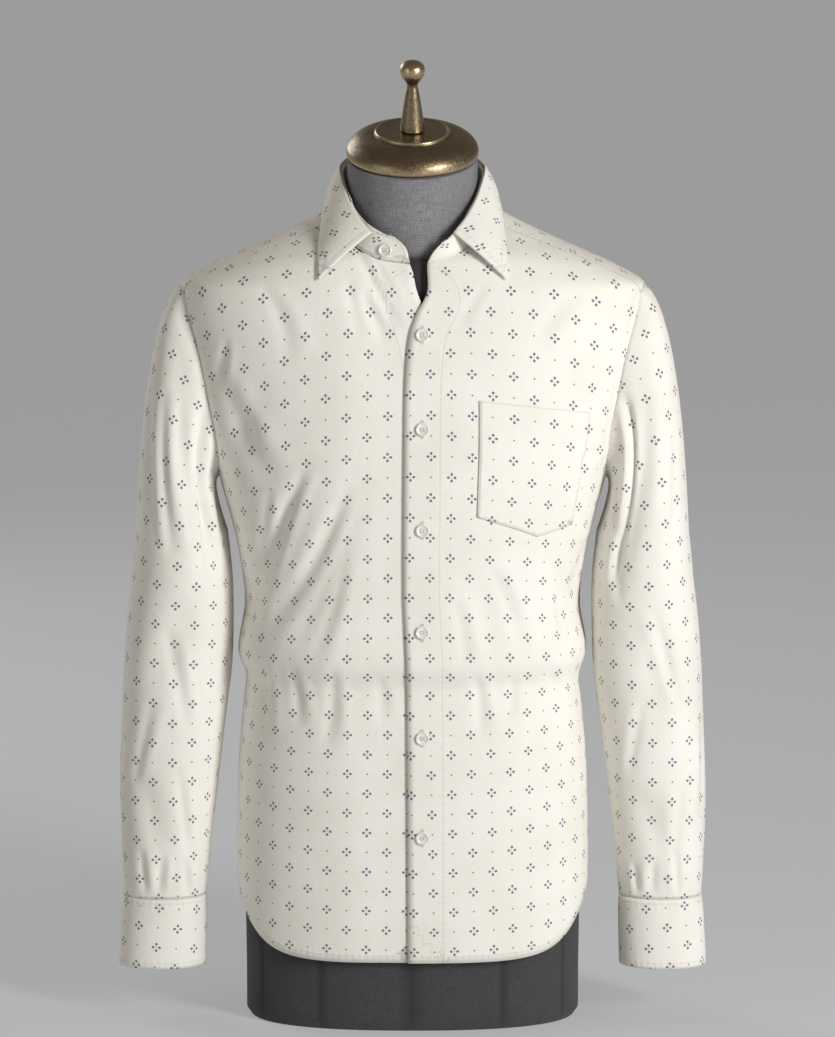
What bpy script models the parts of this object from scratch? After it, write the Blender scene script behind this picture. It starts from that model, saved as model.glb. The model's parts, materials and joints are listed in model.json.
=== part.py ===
"""Long-sleeved shirt on a limbless dress form: solid parts in metres, +Z up, front towards -Y.

The body of the shirt lies on one skin, a stack of rounded sections. Each cut piece is a patch of
that skin between its seams, with the cloth's thickness put on the inside. Angles on the skin are
in degrees from the front centre: 0 front, 90 image right, 180 back, negative on the image left.
"""
import math

import bmesh
import bpy
import numpy as np
from mathutils import Matrix, Vector

CLOTH = 0.0015          # wall of a cut piece
SEAM = 0.00045          # gap left at a seam
ROUND = 2.4             # roundness of the body sections (2 is an ellipse)

# The outer skin of the shirt body.
BODY = (  # z, half width, front depth, back depth
    (0.050, 0.1760, 0.108, 0.122), (0.150, 0.1770, 0.111, 0.124), (0.250, 0.1750, 0.114, 0.122),
    (0.315, 0.1700, 0.115, 0.116), (0.344, 0.1670, 0.114, 0.110), (0.372, 0.1745, 0.122, 0.117),
    (0.420, 0.1680, 0.118, 0.111), (0.470, 0.1735, 0.120, 0.114), (0.540, 0.1910, 0.122, 0.120),
    (0.580, 0.2030, 0.120, 0.124), (0.645, 0.2180, 0.113, 0.124), (0.690, 0.2255, 0.106, 0.119),
    (0.720, 0.2300, 0.101, 0.113), (0.736, 0.2305, 0.098, 0.109), (0.757, 0.2000, 0.090, 0.101),
    (0.768, 0.1755, 0.084, 0.096), (0.7865, 0.1335, 0.062, 0.088), (0.8026, 0.1005, 0.043, 0.080),
    (0.812, 0.0850, 0.036, 0.075), (0.830, 0.0700, 0.030, 0.066))

# The largest folds of the body: soft troughs along a line on the front (depth may be negative).
BODY_FOLDS = (  # x from, z from, x to, z to, half width, depth
    (-0.108, 0.545, -0.158, 0.410, 0.017, 0.0050), (-0.058, 0.548, -0.122, 0.372, 0.017, 0.0045),
    (-0.150, 0.640, -0.182, 0.560, 0.015, 0.0035), (0.150, 0.470, 0.165, 0.370, 0.016, 0.0035),
    (0.060, 0.470, 0.085, 0.375, 0.018, 0.0030), (-0.060, 0.735, -0.012, 0.690, 0.012, 0.0025))
BACK_FOLDS = (
    (-0.090, 0.640, -0.105, 0.400, 0.020, 0.0045), (0.085, 0.650, 0.110, 0.390, 0.020, 0.0045),
    (0.010, 0.560, -0.020, 0.370, 0.018, 0.0030))

HEM_LOW, HEM_RISE, HEM_SPREAD = 0.072, 0.065, 30.0   # shirt-tail hem, raised at the side seams

SIDE_ROWS = (0.0, 0.14, 0.28, 0.40, 0.475, 0.515, 0.56, 0.62, 0.70, 0.78, 0.86, 0.93, 1.0)
ARMPIT_Z = 0.545
FRONT_ARMHOLE = (  # angle, z, from the armpit up to the front yoke seam
    (90, 0.545), (80, 0.552), (71, 0.575), (68, 0.610), (68, 0.648), (70, 0.680), (73, 0.705),
    (76, 0.731))
BACK_ARMHOLE = (   # angle, z, from the armpit up to the back yoke seam
    (90, 0.545), (100, 0.552), (108, 0.575), (111, 0.610), (110.5, 0.648), (107.5, 0.690))
YOKE_ARMHOLE = (   # angle, z, over the shoulder from the front yoke seam to the back one
    (76, 0.731), (83, 0.7365), (90, 0.738), (98, 0.728), (104, 0.710), (107.5, 0.690))
YOKE_BACK = ((107.5, 0.690), (125, 0.695), (150, 0.699), (180, 0.700))
YOKE_FRONT = (     # x, z, from the neck to the armhole
    (0.0800, 0.800), (0.1265, 0.782), (0.1645, 0.767), (0.1980, 0.752), (0.2247, 0.731))
NECK_FRONT = ((0.0000, 0.7635), (0.030, 0.767), (0.055, 0.778), (0.072, 0.792), (0.080, 0.800))
NECK_BACK = ((45.8, 0.800), (62, 0.807), (90, 0.812), (112, 0.818), (140, 0.825), (180, 0.828))

TOP_EDGE = (       # z, x of the front edge that laps on top
    (0.072, -0.0040), (0.360, -0.0055), (0.450, -0.0085), (0.628, -0.0075), (0.694, -0.0035),
    (0.707, 0.0010), (0.727, 0.0085), (0.741, 0.0155), (0.756, 0.0165), (0.7635, 0.0145))
UNDER_EDGE = (     # z, x of the front edge underneath
    (0.072, 0.0290), (0.640, 0.0275), (0.690, 0.0200), (0.727, 0.0085), (0.745, 0.0020),
    (0.7635, -0.0025))
LAP_DROP = 0.0026       # how far the front underneath lies below the one on top
LAP_BLEND = (-0.075, -0.020)

STAND_TOP = (      # x, y, z from the front to the back centre
    (0.0375, -0.0770, 0.7915), (0.0520, -0.0640, 0.8080), (0.0630, -0.0430, 0.8280),
    (0.0698, -0.0110, 0.8490), (0.0640, 0.0220, 0.8560), (0.0450, 0.0460, 0.8605),
    (0.0000, 0.0560, 0.8620))
STAND_END_LEFT = (
    (-0.0025, -0.0868, 0.7642), (-0.0055, -0.0876, 0.7760), (-0.0165, -0.0852, 0.7870),
    (-0.0325, -0.0795, 0.7905))
STAND_END_RIGHT = (
    (0.0145, -0.0868, 0.7642), (0.0205, -0.0870, 0.7740), (0.0310, -0.0840, 0.7840),
    (0.0455, -0.0745, 0.7905))
LEAF_FOLD = (      # x, y, z of the outer fold, front to back centre
    (0.0400, -0.0815, 0.7935), (0.0545, -0.0665, 0.8110), (0.0655, -0.0440, 0.8310),
    (0.0722, -0.0110, 0.8525), (0.0665, 0.0240, 0.8595), (0.0470, 0.0490, 0.8640),
    (0.0000, 0.0592, 0.8655))
LEAF_EDGE = (      # x, y, z of the free edge, collar point to back centre
    (0.0920, -0.0930, 0.7480), (0.0925, -0.0820, 0.7650), (0.0912, -0.0530, 0.7900),
    (0.0890, -0.0270, 0.8080), (0.0870, 0.0040, 0.8190), (0.0800, 0.0380, 0.8260),
    (0.0540, 0.0680, 0.8290), (0.0000, 0.0800, 0.8290))
LEAF_BULGE = 0.0022     # how far the leaf swells between its fold and its free edge

POCKET_TOP = ((0.0650, 0.6314), (0.1240, 0.6240), (0.1745, 0.6166))
POCKET_LOW = ((0.0630, 0.5180), (0.1220, 0.4966), (0.1560, 0.5060))

# One sleeve, image right; the other is its mirror with its own folds.
SLEEVE = (  # z, x of the centre, y of the centre, half width, half depth
    (0.490, 0.2305, 0.000, 0.0460, 0.068), (0.450, 0.2303, -0.002, 0.0502, 0.064),
    (0.400, 0.2328, -0.004, 0.0535, 0.058), (0.360, 0.2350, -0.006, 0.0543, 0.055),
    (0.300, 0.2400, -0.008, 0.0520, 0.050), (0.230, 0.2455, -0.010, 0.0490, 0.045),
    (0.170, 0.2483, -0.011, 0.0448, 0.040), (0.1228, 0.2495, -0.012, 0.0415, 0.034))
SLEEVE_ROWS = (0.490, 0.465, 0.435, 0.400, 0.365, 0.325, 0.280, 0.230, 0.180, 0.145, 0.1228)
SLEEVE_CAP_ROWS = (0.0, 0.10, 0.22, 0.35, 0.50, 0.65, 0.82)
FRONT_HOLE, BACK_HOLE, YOKE_HOLE = 10, 7, 8    # points along each stretch of an armhole
PANEL_COLUMNS, BACK_HALF = 12, 10               # points along the yoke's front and back seams
CUFF = (    # z, x of the centre, y of the centre, half width, half depth
    (0.1222, 0.2497, -0.012, 0.0418, 0.0342), (0.1000, 0.2505, -0.012, 0.0432, 0.0352),
    (0.0520, 0.2525, -0.012, 0.0440, 0.0360))
# Folds of a sleeve: angle 0 is the outside, 90 the front, 180 the side to the body.
PICTURE_LEFT_FOLDS = (  # angle from, z from, angle to, z to, half width in degrees, depth
    (52, 0.700, 118, 0.500, 17, 0.0055), (100, 0.430, 70, 0.330, 18, 0.0035),
    (60, 0.260, 95, 0.150, 16, 0.0030), (250, 0.660, 225, 0.440, 20, 0.0050),
    (300, 0.330, 280, 0.200, 18, 0.0035))
PICTURE_RIGHT_FOLDS = (
    (62, 0.690, 128, 0.420, 15, 0.0055), (75, 0.400, 95, 0.290, 17, 0.0032),
    (110, 0.240, 80, 0.150, 16, 0.0030), (255, 0.650, 230, 0.430, 20, 0.0050),
    (290, 0.340, 300, 0.200, 18, 0.0035))

BUTTON_RADIUS, BUTTON_THICK = 0.0066, 0.0022
FRONT_BUTTON_X = 0.0098
FRONT_BUTTONS = (   # z, height of the back over the skin (more where the front is hollow)
    (0.6950, 0.0005), (0.6040, 0.0005), (0.5055, 0.0005), (0.4045, 0.0008), (0.2990, 0.0005),
    (0.1990, 0.0005))
STAND_BUTTON = (-0.0256, 0.7758)

FORM_RING = 32
FORM_LEVELS = (0.006, 0.050, 0.130, 0.220, 0.300, 0.344, 0.372, 0.420, 0.470, 0.540, 0.600, 0.650,
               0.690, 0.715, 0.730, 0.742, 0.752, 0.763, 0.775, 0.788, 0.802, 0.818)
NECK_RADIUS, NECK_BASE_Y, NECK_LEAN = 0.0643, -0.0065, 0.20
CAP_TILT = math.radians(18)
CAP_CENTRE = (0.0, -0.0225, 0.8705)
CAP_PROFILE = (  # radius, height over the rim plane
    (0.0000, -0.0050), (0.0630, -0.0050), (0.0648, -0.0038), (0.0653, -0.0010), (0.0647, 0.0028),
    (0.0618, 0.0078), (0.0565, 0.0124), (0.0500, 0.0156), (0.0430, 0.0176), (0.0388, 0.0182),
    (0.0376, 0.0184), (0.0370, 0.0200), (0.0355, 0.0207), (0.0335, 0.0200), (0.0000, 0.0200))
FINIAL_PROFILE = (
    (0.0000, 0.0204), (0.0112, 0.0204), (0.0121, 0.0220), (0.0119, 0.0255), (0.0101, 0.0376),
    (0.0088, 0.0460), (0.0075, 0.0544), (0.0060, 0.0625), (0.0052, 0.0665), (0.0063, 0.0702),
    (0.0088, 0.0738), (0.0112, 0.0780), (0.0123, 0.0830), (0.0110, 0.0880), (0.0070, 0.0912),
    (0.0000, 0.0923))


def table_value(table, key, column):
    """Reads a column of a table at key, smoothly and without overshoot between its rows."""
    rows = np.array(table, dtype=float)
    rows = rows[np.argsort(rows[:, 0])]
    x, y = rows[:, 0], rows[:, column]
    step, slope = np.diff(x), np.diff(y) / np.diff(x)
    tangent = np.zeros(len(x))
    tangent[0], tangent[-1] = slope[0], slope[-1]
    for i in range(1, len(x) - 1):
        if slope[i - 1] * slope[i] > 0:
            tangent[i] = 2 / (1 / slope[i - 1] + 1 / slope[i])
    key = np.clip(np.asarray(key, dtype=float), x[0], x[-1])
    i = np.clip(np.searchsorted(x, key) - 1, 0, len(x) - 2)
    t, h = (key - x[i]) / step[i], step[i]
    return ((2 * t**3 - 3 * t**2 + 1) * y[i] + (t**3 - 2 * t**2 + t) * h * tangent[i]
            + (3 * t**2 - 2 * t**3) * y[i + 1] + (t**3 - t**2) * h * tangent[i + 1])


def smooth(value, low, high):
    """A soft step from 0 at low to 1 at high."""
    t = np.clip((value - low) / (high - low), 0, 1)
    return t * t * (3 - 2 * t)


def fold_depth(u, v, rows):
    """Depth of the soft troughs of a fold table at a place (u, v)."""
    total = np.zeros(np.shape(u))
    for u0, v0, u1, v1, width, depth in rows:
        along = ((u - u0) * (u1 - u0) + (v - v0) * (v1 - v0)) / ((u1 - u0)**2 + (v1 - v0)**2)
        near = np.clip(along, 0, 1)
        away = np.hypot(u - u0 - near * (u1 - u0), v - v0 - near * (v1 - v0)) / width
        total = total + depth * np.exp(-away**2) * np.sin(np.pi * np.clip(near, 0.08, 0.92))
    return total


def bare_skin(angle, z):
    """Point of the body's sections at an angle in degrees and a height."""
    angle, z = np.broadcast_arrays(np.asarray(angle, float), np.asarray(z, float))
    s, c = np.sin(np.radians(angle)), np.cos(np.radians(angle))
    half = table_value(BODY, z, 1)
    deep = np.where(c > 0, table_value(BODY, z, 2), table_value(BODY, z, 3))
    x = half * np.sign(s) * np.abs(s)**(2 / ROUND)
    y = -deep * np.sign(c) * np.abs(c)**(2 / ROUND)
    return np.stack([x, y, z], axis=-1)


def bare_normal(angle, z):
    """Outward normal of the plain sections."""
    across = bare_skin(np.asarray(angle) + 0.4, z) - bare_skin(np.asarray(angle) - 0.4, z)
    up = bare_skin(angle, np.asarray(z) + 0.0008) - bare_skin(angle, np.asarray(z) - 0.0008)
    normal = np.cross(across, up)
    return normal / np.linalg.norm(normal, axis=-1, keepdims=True)


def skin(angle, z, lift=0.0):
    """Point of the folded cloth's outside, lifted outwards."""
    point, normal = bare_skin(angle, z), bare_normal(angle, z)
    front = np.cos(np.radians(angle)) > 0
    depth = np.where(front, fold_depth(point[..., 0], point[..., 2], BODY_FOLDS),
                     fold_depth(point[..., 0], point[..., 2], BACK_FOLDS))
    return point + normal * (np.asarray(lift) - depth)[..., None]


def angle_at(x, z):
    """Angle on the front of the skin for a given x and z."""
    share = np.clip(np.abs(x) / table_value(BODY, z, 1), 0, 1)
    return np.degrees(np.arcsin(share**(ROUND / 2))) * np.sign(x)


def resample(points, count=None, steps=None):
    """Points spread along a polyline, evenly (count) or at given shares of its length (steps)."""
    points = np.array(points, dtype=float)
    scale = np.ones(points.shape[1])
    if points.shape[1] == 2:
        scale = np.array([0.003, 1.0])      # a degree weighs about three millimetres
    length = np.concatenate([[0], np.cumsum(np.linalg.norm(np.diff(points * scale, axis=0), axis=1))])
    at = np.linspace(0, 1, count) if steps is None else np.asarray(steps)
    rows = np.column_stack([length, points])
    return np.column_stack([table_value(rows, at * length[-1], i + 1)
                            for i in range(points.shape[1])])


def coons(low, high, left, right):
    """Fills the patch between four edges; low and high run left to right, the others upwards."""
    low, high, left, right = (np.asarray(e, dtype=float) for e in (low, high, left, right))
    s = np.linspace(0, 1, len(low))[None, :, None]
    t = np.linspace(0, 1, len(left))[:, None, None]
    corners = ((1 - s) * (1 - t) * low[0] + s * (1 - t) * low[-1]
               + (1 - s) * t * high[0] + s * t * high[-1])
    return ((1 - t) * low[None] + t * high[None] + (1 - s) * left[:, None] + s * right[:, None]
            - corners)


def grid_normals(grid, closed):
    """Unit normals of a grid of points, rows upwards and columns to the image right."""
    if closed:
        across = np.roll(grid, -1, axis=1) - np.roll(grid, 1, axis=1)
    else:
        across = np.gradient(grid, axis=1)
    up = np.gradient(grid, axis=0)
    normal = np.cross(across, up)
    return normal / np.linalg.norm(normal, axis=-1, keepdims=True)


def new_object(name, mesh, material):
    """Adds an object with its own material to the part's collection."""
    obj = bpy.data.objects.new(name, mesh)
    mat = bpy.data.materials.new(name + "_" + material)
    mat.use_nodes = True
    colour, rough, metal = FINISHES[material]
    shader = mat.node_tree.nodes["Principled BSDF"]
    shader.inputs["Base Color"].default_value = (*colour, 1.0)
    shader.inputs["Roughness"].default_value = rough
    shader.inputs["Metallic"].default_value = metal
    mesh.materials.append(mat)
    PARTS.objects.link(obj)
    return obj


def cloth_piece(name, outside, inside, closed=False, material="cloth"):
    """One closed wall of cloth between two grids of points of the same size."""
    rows, cols = outside.shape[:2]
    bm = bmesh.new()
    sheets = [[[bm.verts.new(p) for p in row] for row in grid] for grid in (outside, inside)]
    span = cols if closed else cols - 1
    for r in range(rows - 1):
        for c in range(span):
            d = (c + 1) % cols
            o, i = sheets
            bm.faces.new((o[r][c], o[r][d], o[r + 1][d], o[r + 1][c]))
            bm.faces.new((i[r][c], i[r + 1][c], i[r + 1][d], i[r][d]))
    for c in range(span):
        d = (c + 1) % cols
        o, i = sheets
        bm.faces.new((o[0][d], o[0][c], i[0][c], i[0][d]))
        bm.faces.new((o[-1][c], o[-1][d], i[-1][d], i[-1][c]))
    if not closed:
        for r in range(rows - 1):
            o, i = sheets
            bm.faces.new((o[r][0], o[r + 1][0], i[r + 1][0], i[r][0]))
            bm.faces.new((o[r + 1][-1], o[r][-1], i[r][-1], i[r + 1][-1]))
    bmesh.ops.triangulate(bm, faces=bm.faces, quad_method="BEAUTY")
    bmesh.ops.recalc_face_normals(bm, faces=bm.faces)
    mesh = bpy.data.meshes.new(name)
    bm.to_mesh(mesh)
    bm.free()
    return new_object(name, mesh, material)


def skin_piece(name, places, lift=0.0, thick=CLOTH):
    """A cut piece on the body skin from a grid of (angle, z) places."""
    angle, z = places[..., 0], places[..., 1]
    outside = skin(angle, z, np.broadcast_to(lift, angle.shape))
    inside = outside - bare_normal(angle, z) * thick
    return cloth_piece(name, outside, inside)


def free_piece(name, grid, closed=False, thick=CLOTH, flip=False):
    """A cut piece from a free grid of points; its wall is put on the inside."""
    normal = grid_normals(grid, closed) * (-1 if flip else 1)
    return cloth_piece(name, grid, grid - normal * thick, closed)


def hem_z(angle):
    """Height of the shirt-tail hem at an angle."""
    away = (np.abs(angle) - 90) / HEM_SPREAD
    return HEM_LOW + HEM_RISE * np.exp(-away**2)


def side_seam(angle):
    """Places up the side seam from the hem to just under the armpit."""
    low, high = hem_z(90), ARMPIT_Z
    return np.array([(angle, low + (high - low) * s) for s in SIDE_ROWS])


def yoke_seam():
    """Places along the seam between a front and the yoke, from the neck to the armhole."""
    return resample([(angle_at(x, z), z) for x, z in YOKE_FRONT], PANEL_COLUMNS)


def front_panel(name, sign):
    """A front: image right (sign 1, laps on top) or image left (sign -1, underneath)."""
    edge_table = TOP_EDGE if sign > 0 else UNDER_EDGE
    gap = math.degrees(SEAM / 2 / 0.19)
    side = side_seam(90 - gap)
    upper = resample([(a - gap, z) for a, z in FRONT_ARMHOLE], FRONT_HOLE)[1:]
    upper[-1, 1] -= SEAM / 2
    right = np.vstack([side, upper])
    low_z = hem_z(0)
    edge_z = [low_z + (ARMPIT_Z - low_z) * s for s in SIDE_ROWS] + [0.592, 0.638, 0.682, 0.712, 0.738]
    edge = [(angle_at(sign * table_value(edge_table, z, 1), z), z) for z in edge_z]
    start_x = sign * table_value(edge_table, 0.7635, 1)
    neck = [(start_x, 0.7630)] + [(x, z - SEAM / 2) for x, z in NECK_FRONT[1:]]
    neck = resample([(angle_at(x, z), z) for x, z in neck], 4)
    left = np.vstack([edge, neck])
    spread = np.linspace(0, 1, PANEL_COLUMNS)
    low = np.array([(left[0, 0] + (right[0, 0] - left[0, 0]) * s, 0) for s in spread])
    low[:, 1] = hem_z(low[:, 0])
    high = yoke_seam() - np.array([0.15, SEAM / 2])
    left[0], right[0], left[-1], right[-1] = low[0], low[-1], high[0], high[-1]
    places = coons(low, high, left, right)
    lift = 0.0
    if sign < 0:
        places = places[:, ::-1] * np.array([-1, 1])
        x = bare_skin(places[..., 0], places[..., 1])[..., 0]
        lift = -LAP_DROP * smooth(x, *LAP_BLEND)
    return skin_piece(name, places, lift)


def back_panel():
    """The back, from side seam to side seam under the yoke."""
    gap = math.degrees(SEAM / 2 / 0.19)
    right = np.vstack([side_seam(90 + gap), resample([(a + gap, z) for a, z in BACK_ARMHOLE], BACK_HOLE)[1:]])
    right[-1, 1] -= SEAM / 2
    left = right * np.array([-1, 1]) + np.array([360, 0])
    low = np.array([(a, hem_z(a if a <= 180 else 360 - a))
                    for a in np.linspace(right[0, 0], left[0, 0], 2 * BACK_HALF - 1)])
    half = resample(YOKE_BACK, BACK_HALF) - np.array([0, SEAM / 2])
    half[0, 0] = right[-1, 0]
    right[-1], left[-1] = half[0], half[0] * np.array([-1, 1]) + np.array([360, 0])
    high = np.vstack([half, half[-2::-1] * np.array([-1, 1]) + np.array([360, 0])])
    return skin_piece("back", coons(low, high, right, left))


def yoke():
    """The yoke over both shoulders and across the upper back."""
    lift = np.array([0, SEAM / 2])
    armhole = resample(YOKE_ARMHOLE, YOKE_HOLE)
    across = resample(YOKE_BACK, BACK_HALF)
    low = np.vstack([armhole, across[1:]]) + lift
    high = np.vstack([resample(NECK_BACK[:4], YOKE_HOLE), resample(NECK_BACK[3:], BACK_HALF)[1:]]) - lift
    flip, turn = np.array([-1, 1]), np.array([360, 0])
    low, high = np.vstack([low, low[-2::-1] * flip + turn]), np.vstack([high, high[-2::-1] * flip + turn])
    seam = yoke_seam()[::-1] + lift + np.array([0.15, 0])
    other = seam * flip + turn
    for rows, end in ((low, 0), (high, -1)):
        rows[0], rows[-1] = seam[end], other[end]
    return skin_piece("yoke", coons(low, high, seam, other))


def armhole_loop():
    """Points round the armhole (front, armpit, back, shoulder) and their turn round the sleeve."""
    rows = np.vstack([resample(YOKE_ARMHOLE, YOKE_HOLE)[::-1],
                      resample(FRONT_ARMHOLE, FRONT_HOLE)[::-1][1:],
                      resample(BACK_ARMHOLE, BACK_HOLE)[1:-1]])
    loop = bare_skin(rows[:, 0], rows[:, 1])
    centre = loop.mean(axis=0)
    reach = np.linalg.norm(np.roll(loop, -1, axis=0) - loop, axis=1)
    along = np.concatenate([[0], np.cumsum(reach)[:-1]])
    top = np.interp(-90, -rows[:YOKE_HOLE, 0], along[:YOKE_HOLE])
    turns = 2 * np.pi * (along - top) / reach.sum()
    inward = (centre - loop) / np.linalg.norm(centre - loop, axis=1, keepdims=True)
    return loop + inward * 0.0008 + np.array([0.0003, 0, 0]), turns


def tube_ring(table, z, turns, folds=()):
    """Points of a sleeve or cuff section at height z."""
    x, y, wide, deep = (table_value(table, z, i) for i in (1, 2, 3, 4))
    dip = fold_tube(turns, z, folds)
    c, s = np.cos(turns), np.sin(turns)
    r = 2 / 2.15
    return np.stack([x + (wide - dip) * np.sign(c) * np.abs(c)**r,
                     y - (deep - dip) * np.sign(s) * np.abs(s)**r, np.full(len(turns), z)], axis=1)


def fold_tube(turns, z, folds):
    """Depth of a sleeve's folds round a ring at height z (an array or one height)."""
    total = np.zeros(len(turns))
    for a0, z0, a1, z1, width, depth in folds:
        share = np.clip((z0 - z) / (z0 - z1), -0.2, 1.2)
        centre = a0 + (a1 - a0) * share
        away = (np.degrees(turns) - centre + 180) % 360 - 180
        fade = np.sin(np.pi * np.clip(share, 0, 1))
        total = total + depth * fade * np.exp(-(away / width)**2)
    return total


def sleeve(name, sign, folds):
    """A sleeve from its armhole to the cuff, image right for sign 1."""
    start, turns = armhole_loop()
    end = tube_ring(SLEEVE, SLEEVE[0][0], turns)
    control = end.copy()
    control[:, 0] += 0.0035 - 0.0145 * np.cos(turns)
    control[:, 1] *= 1.04
    control[:, 2] += 0.9 * (start[:, 2] - end[:, 2])
    rows = []
    for t in SLEEVE_CAP_ROWS:
        ring = (1 - t)**2 * start + 2 * t * (1 - t) * control + t**2 * end
        if t > 0:
            dip = fold_tube(turns, ring[:, 2], folds) * smooth(t, 0.0, 0.22)
            away = ring - np.array([0.225, 0.0, 0.0])
            away[:, 2] = 0
            ring = ring - away / np.linalg.norm(away, axis=1, keepdims=True) * dip[:, None]
        rows.append(ring)
    rows += [tube_ring(SLEEVE, z, turns, folds) for z in SLEEVE_ROWS]
    grid = np.array(rows)[::-1]
    if sign < 0:
        grid = grid * np.array([-1, 1, 1])
    return free_piece(name, grid, closed=True, flip=sign > 0)


def cuff(name, sign):
    """A closed cuff under its sleeve."""
    turns = armhole_loop()[1]
    grid = np.array([tube_ring(CUFF, z, turns) for z in (0.0520, 0.0560, 0.0900, 0.1180, 0.1222)])
    if sign < 0:
        grid = grid * np.array([-1, 1, 1])
    return free_piece(name, grid, closed=True, thick=0.0022, flip=sign > 0)


def both_sides(rows):
    """A front-to-back table run from the image-left front round the back to the image right."""
    rows = np.array(rows, dtype=float)
    return np.vstack([rows * np.array([-1, 1, 1]), rows[-2::-1]])


def neckline(start_x, sign):
    """Points of the neckline on one side, from the front end to the back centre."""
    front = [(start_x, 0.7635)] + [p for p in NECK_FRONT[1:-1]]
    places = [(angle_at(x, z), z) for x, z in front] + list(NECK_BACK)
    points = bare_skin([p[0] for p in places], [p[1] for p in places])
    return points * np.array([sign, 1, 1]) + np.array([0, 0, SEAM * 1.2])


def collar_stand():
    """The band that the collar stands on, round-ended at the front."""
    left, right = neckline(0.0025, -1), neckline(0.0145, 1)
    low = resample(np.vstack([left, right[-2::-1]]), 33)
    ends = [np.array(STAND_END_LEFT), np.array(STAND_END_RIGHT)]
    ends[0][0], ends[1][0] = low[0], low[-1]
    top = both_sides(STAND_TOP)
    top[0], top[-1] = ends[0][-1], ends[1][-1]
    grid = coons(low, resample(top, 33), resample(ends[0], 4), resample(ends[1], 4))
    free_piece("collar_stand", grid, flip=True)
    return grid


def collar_leaf():
    """The turned-down collar with its two points."""
    low, high = resample(both_sides(LEAF_EDGE), 35), resample(both_sides(LEAF_FOLD), 35)
    ends = [np.array([a + (b - a) * t for t in np.linspace(0, 1, 5)])
            for a, b in ((low[0], high[0]), (low[-1], high[-1]))]
    grid = coons(low, high, *ends)
    bulge = np.sin(np.pi * np.linspace(0, 1, 5))[:, None, None] * LEAF_BULGE
    grid = grid - grid_normals(grid, False) * bulge
    return free_piece("collar_leaf", grid, flip=True)


def pocket():
    """The chest pocket on the front that laps on top."""
    low = resample([(angle_at(x, z), z) for x, z in POCKET_LOW], steps=(0, .17, .34, .5, .67, .84, 1))
    high = resample([(angle_at(x, z), z) for x, z in POCKET_TOP], steps=(0, .17, .34, .5, .67, .84, 1))
    rows = np.linspace(0, 1, 8)[:, None]
    left, right = low[0] + (high[0] - low[0]) * rows, low[-1] + (high[-1] - low[-1]) * rows
    return skin_piece("chest_pocket", coons(low, high, left, right), lift=CLOTH + 0.0006, thick=0.0012)


def button(name, point, normal):
    """A flat round button with softened rims, its back at point."""
    bm = bmesh.new()
    bmesh.ops.create_cone(bm, cap_ends=True, segments=20, radius1=BUTTON_RADIUS,
                          radius2=BUTTON_RADIUS, depth=BUTTON_THICK)
    rims = [e for e in bm.edges if abs(e.verts[0].co.z - e.verts[1].co.z) < 1e-6]
    bmesh.ops.bevel(bm, geom=rims, offset=0.0005, segments=1, affect="EDGES")
    bmesh.ops.triangulate(bm, faces=bm.faces)
    turn = Vector(normal).to_track_quat("Z", "Y").to_matrix().to_4x4()
    centre = Vector(point) + Vector(normal).normalized() * (BUTTON_THICK / 2)
    bm.transform(Matrix.Translation(centre) @ turn)
    mesh = bpy.data.meshes.new(name)
    bm.to_mesh(mesh)
    bm.free()
    return new_object(name, mesh, "pearl")


def buttons(stand):
    """The buttons down the front, one on the stand's end and one on each cuff."""
    flat = stand.reshape(-1, 3)
    normals = -grid_normals(stand, False).reshape(-1, 3)
    near = np.hypot(flat[:, 0] - STAND_BUTTON[0], flat[:, 2] - STAND_BUTTON[1])
    pick = np.argsort(near)[:4]
    weight = 1 / (near[pick] + 1e-4)
    normal = (normals[pick] * weight[:, None]).sum(axis=0)
    normal /= np.linalg.norm(normal)
    base = (flat[pick] * weight[:, None]).sum(axis=0) / weight.sum()
    base += normal * 0.0011
    button("button_stand", base, normal)
    for i, (z, lift) in enumerate(FRONT_BUTTONS):
        angle = float(angle_at(FRONT_BUTTON_X, z))
        button("button_front_%d" % (i + 1), skin(angle, z, lift), bare_normal(angle, z))
    for side, sign in (("left", 1), ("right", -1)):
        turns = np.radians(np.array([318.0, 322.0]))
        here, there = tube_ring(CUFF, 0.087, turns)
        along = there - here
        normal = np.array([-along[1], along[0], 0]) * -1
        normal = normal / np.linalg.norm(normal)
        if np.dot(normal, here - np.array([0.2505, -0.012, 0.087])) < 0:
            normal = -normal
        point = here + normal * 0.0008
        mirror = np.array([sign, 1, 1])
        button("button_cuff_" + side, point * mirror, normal * mirror)


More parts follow.
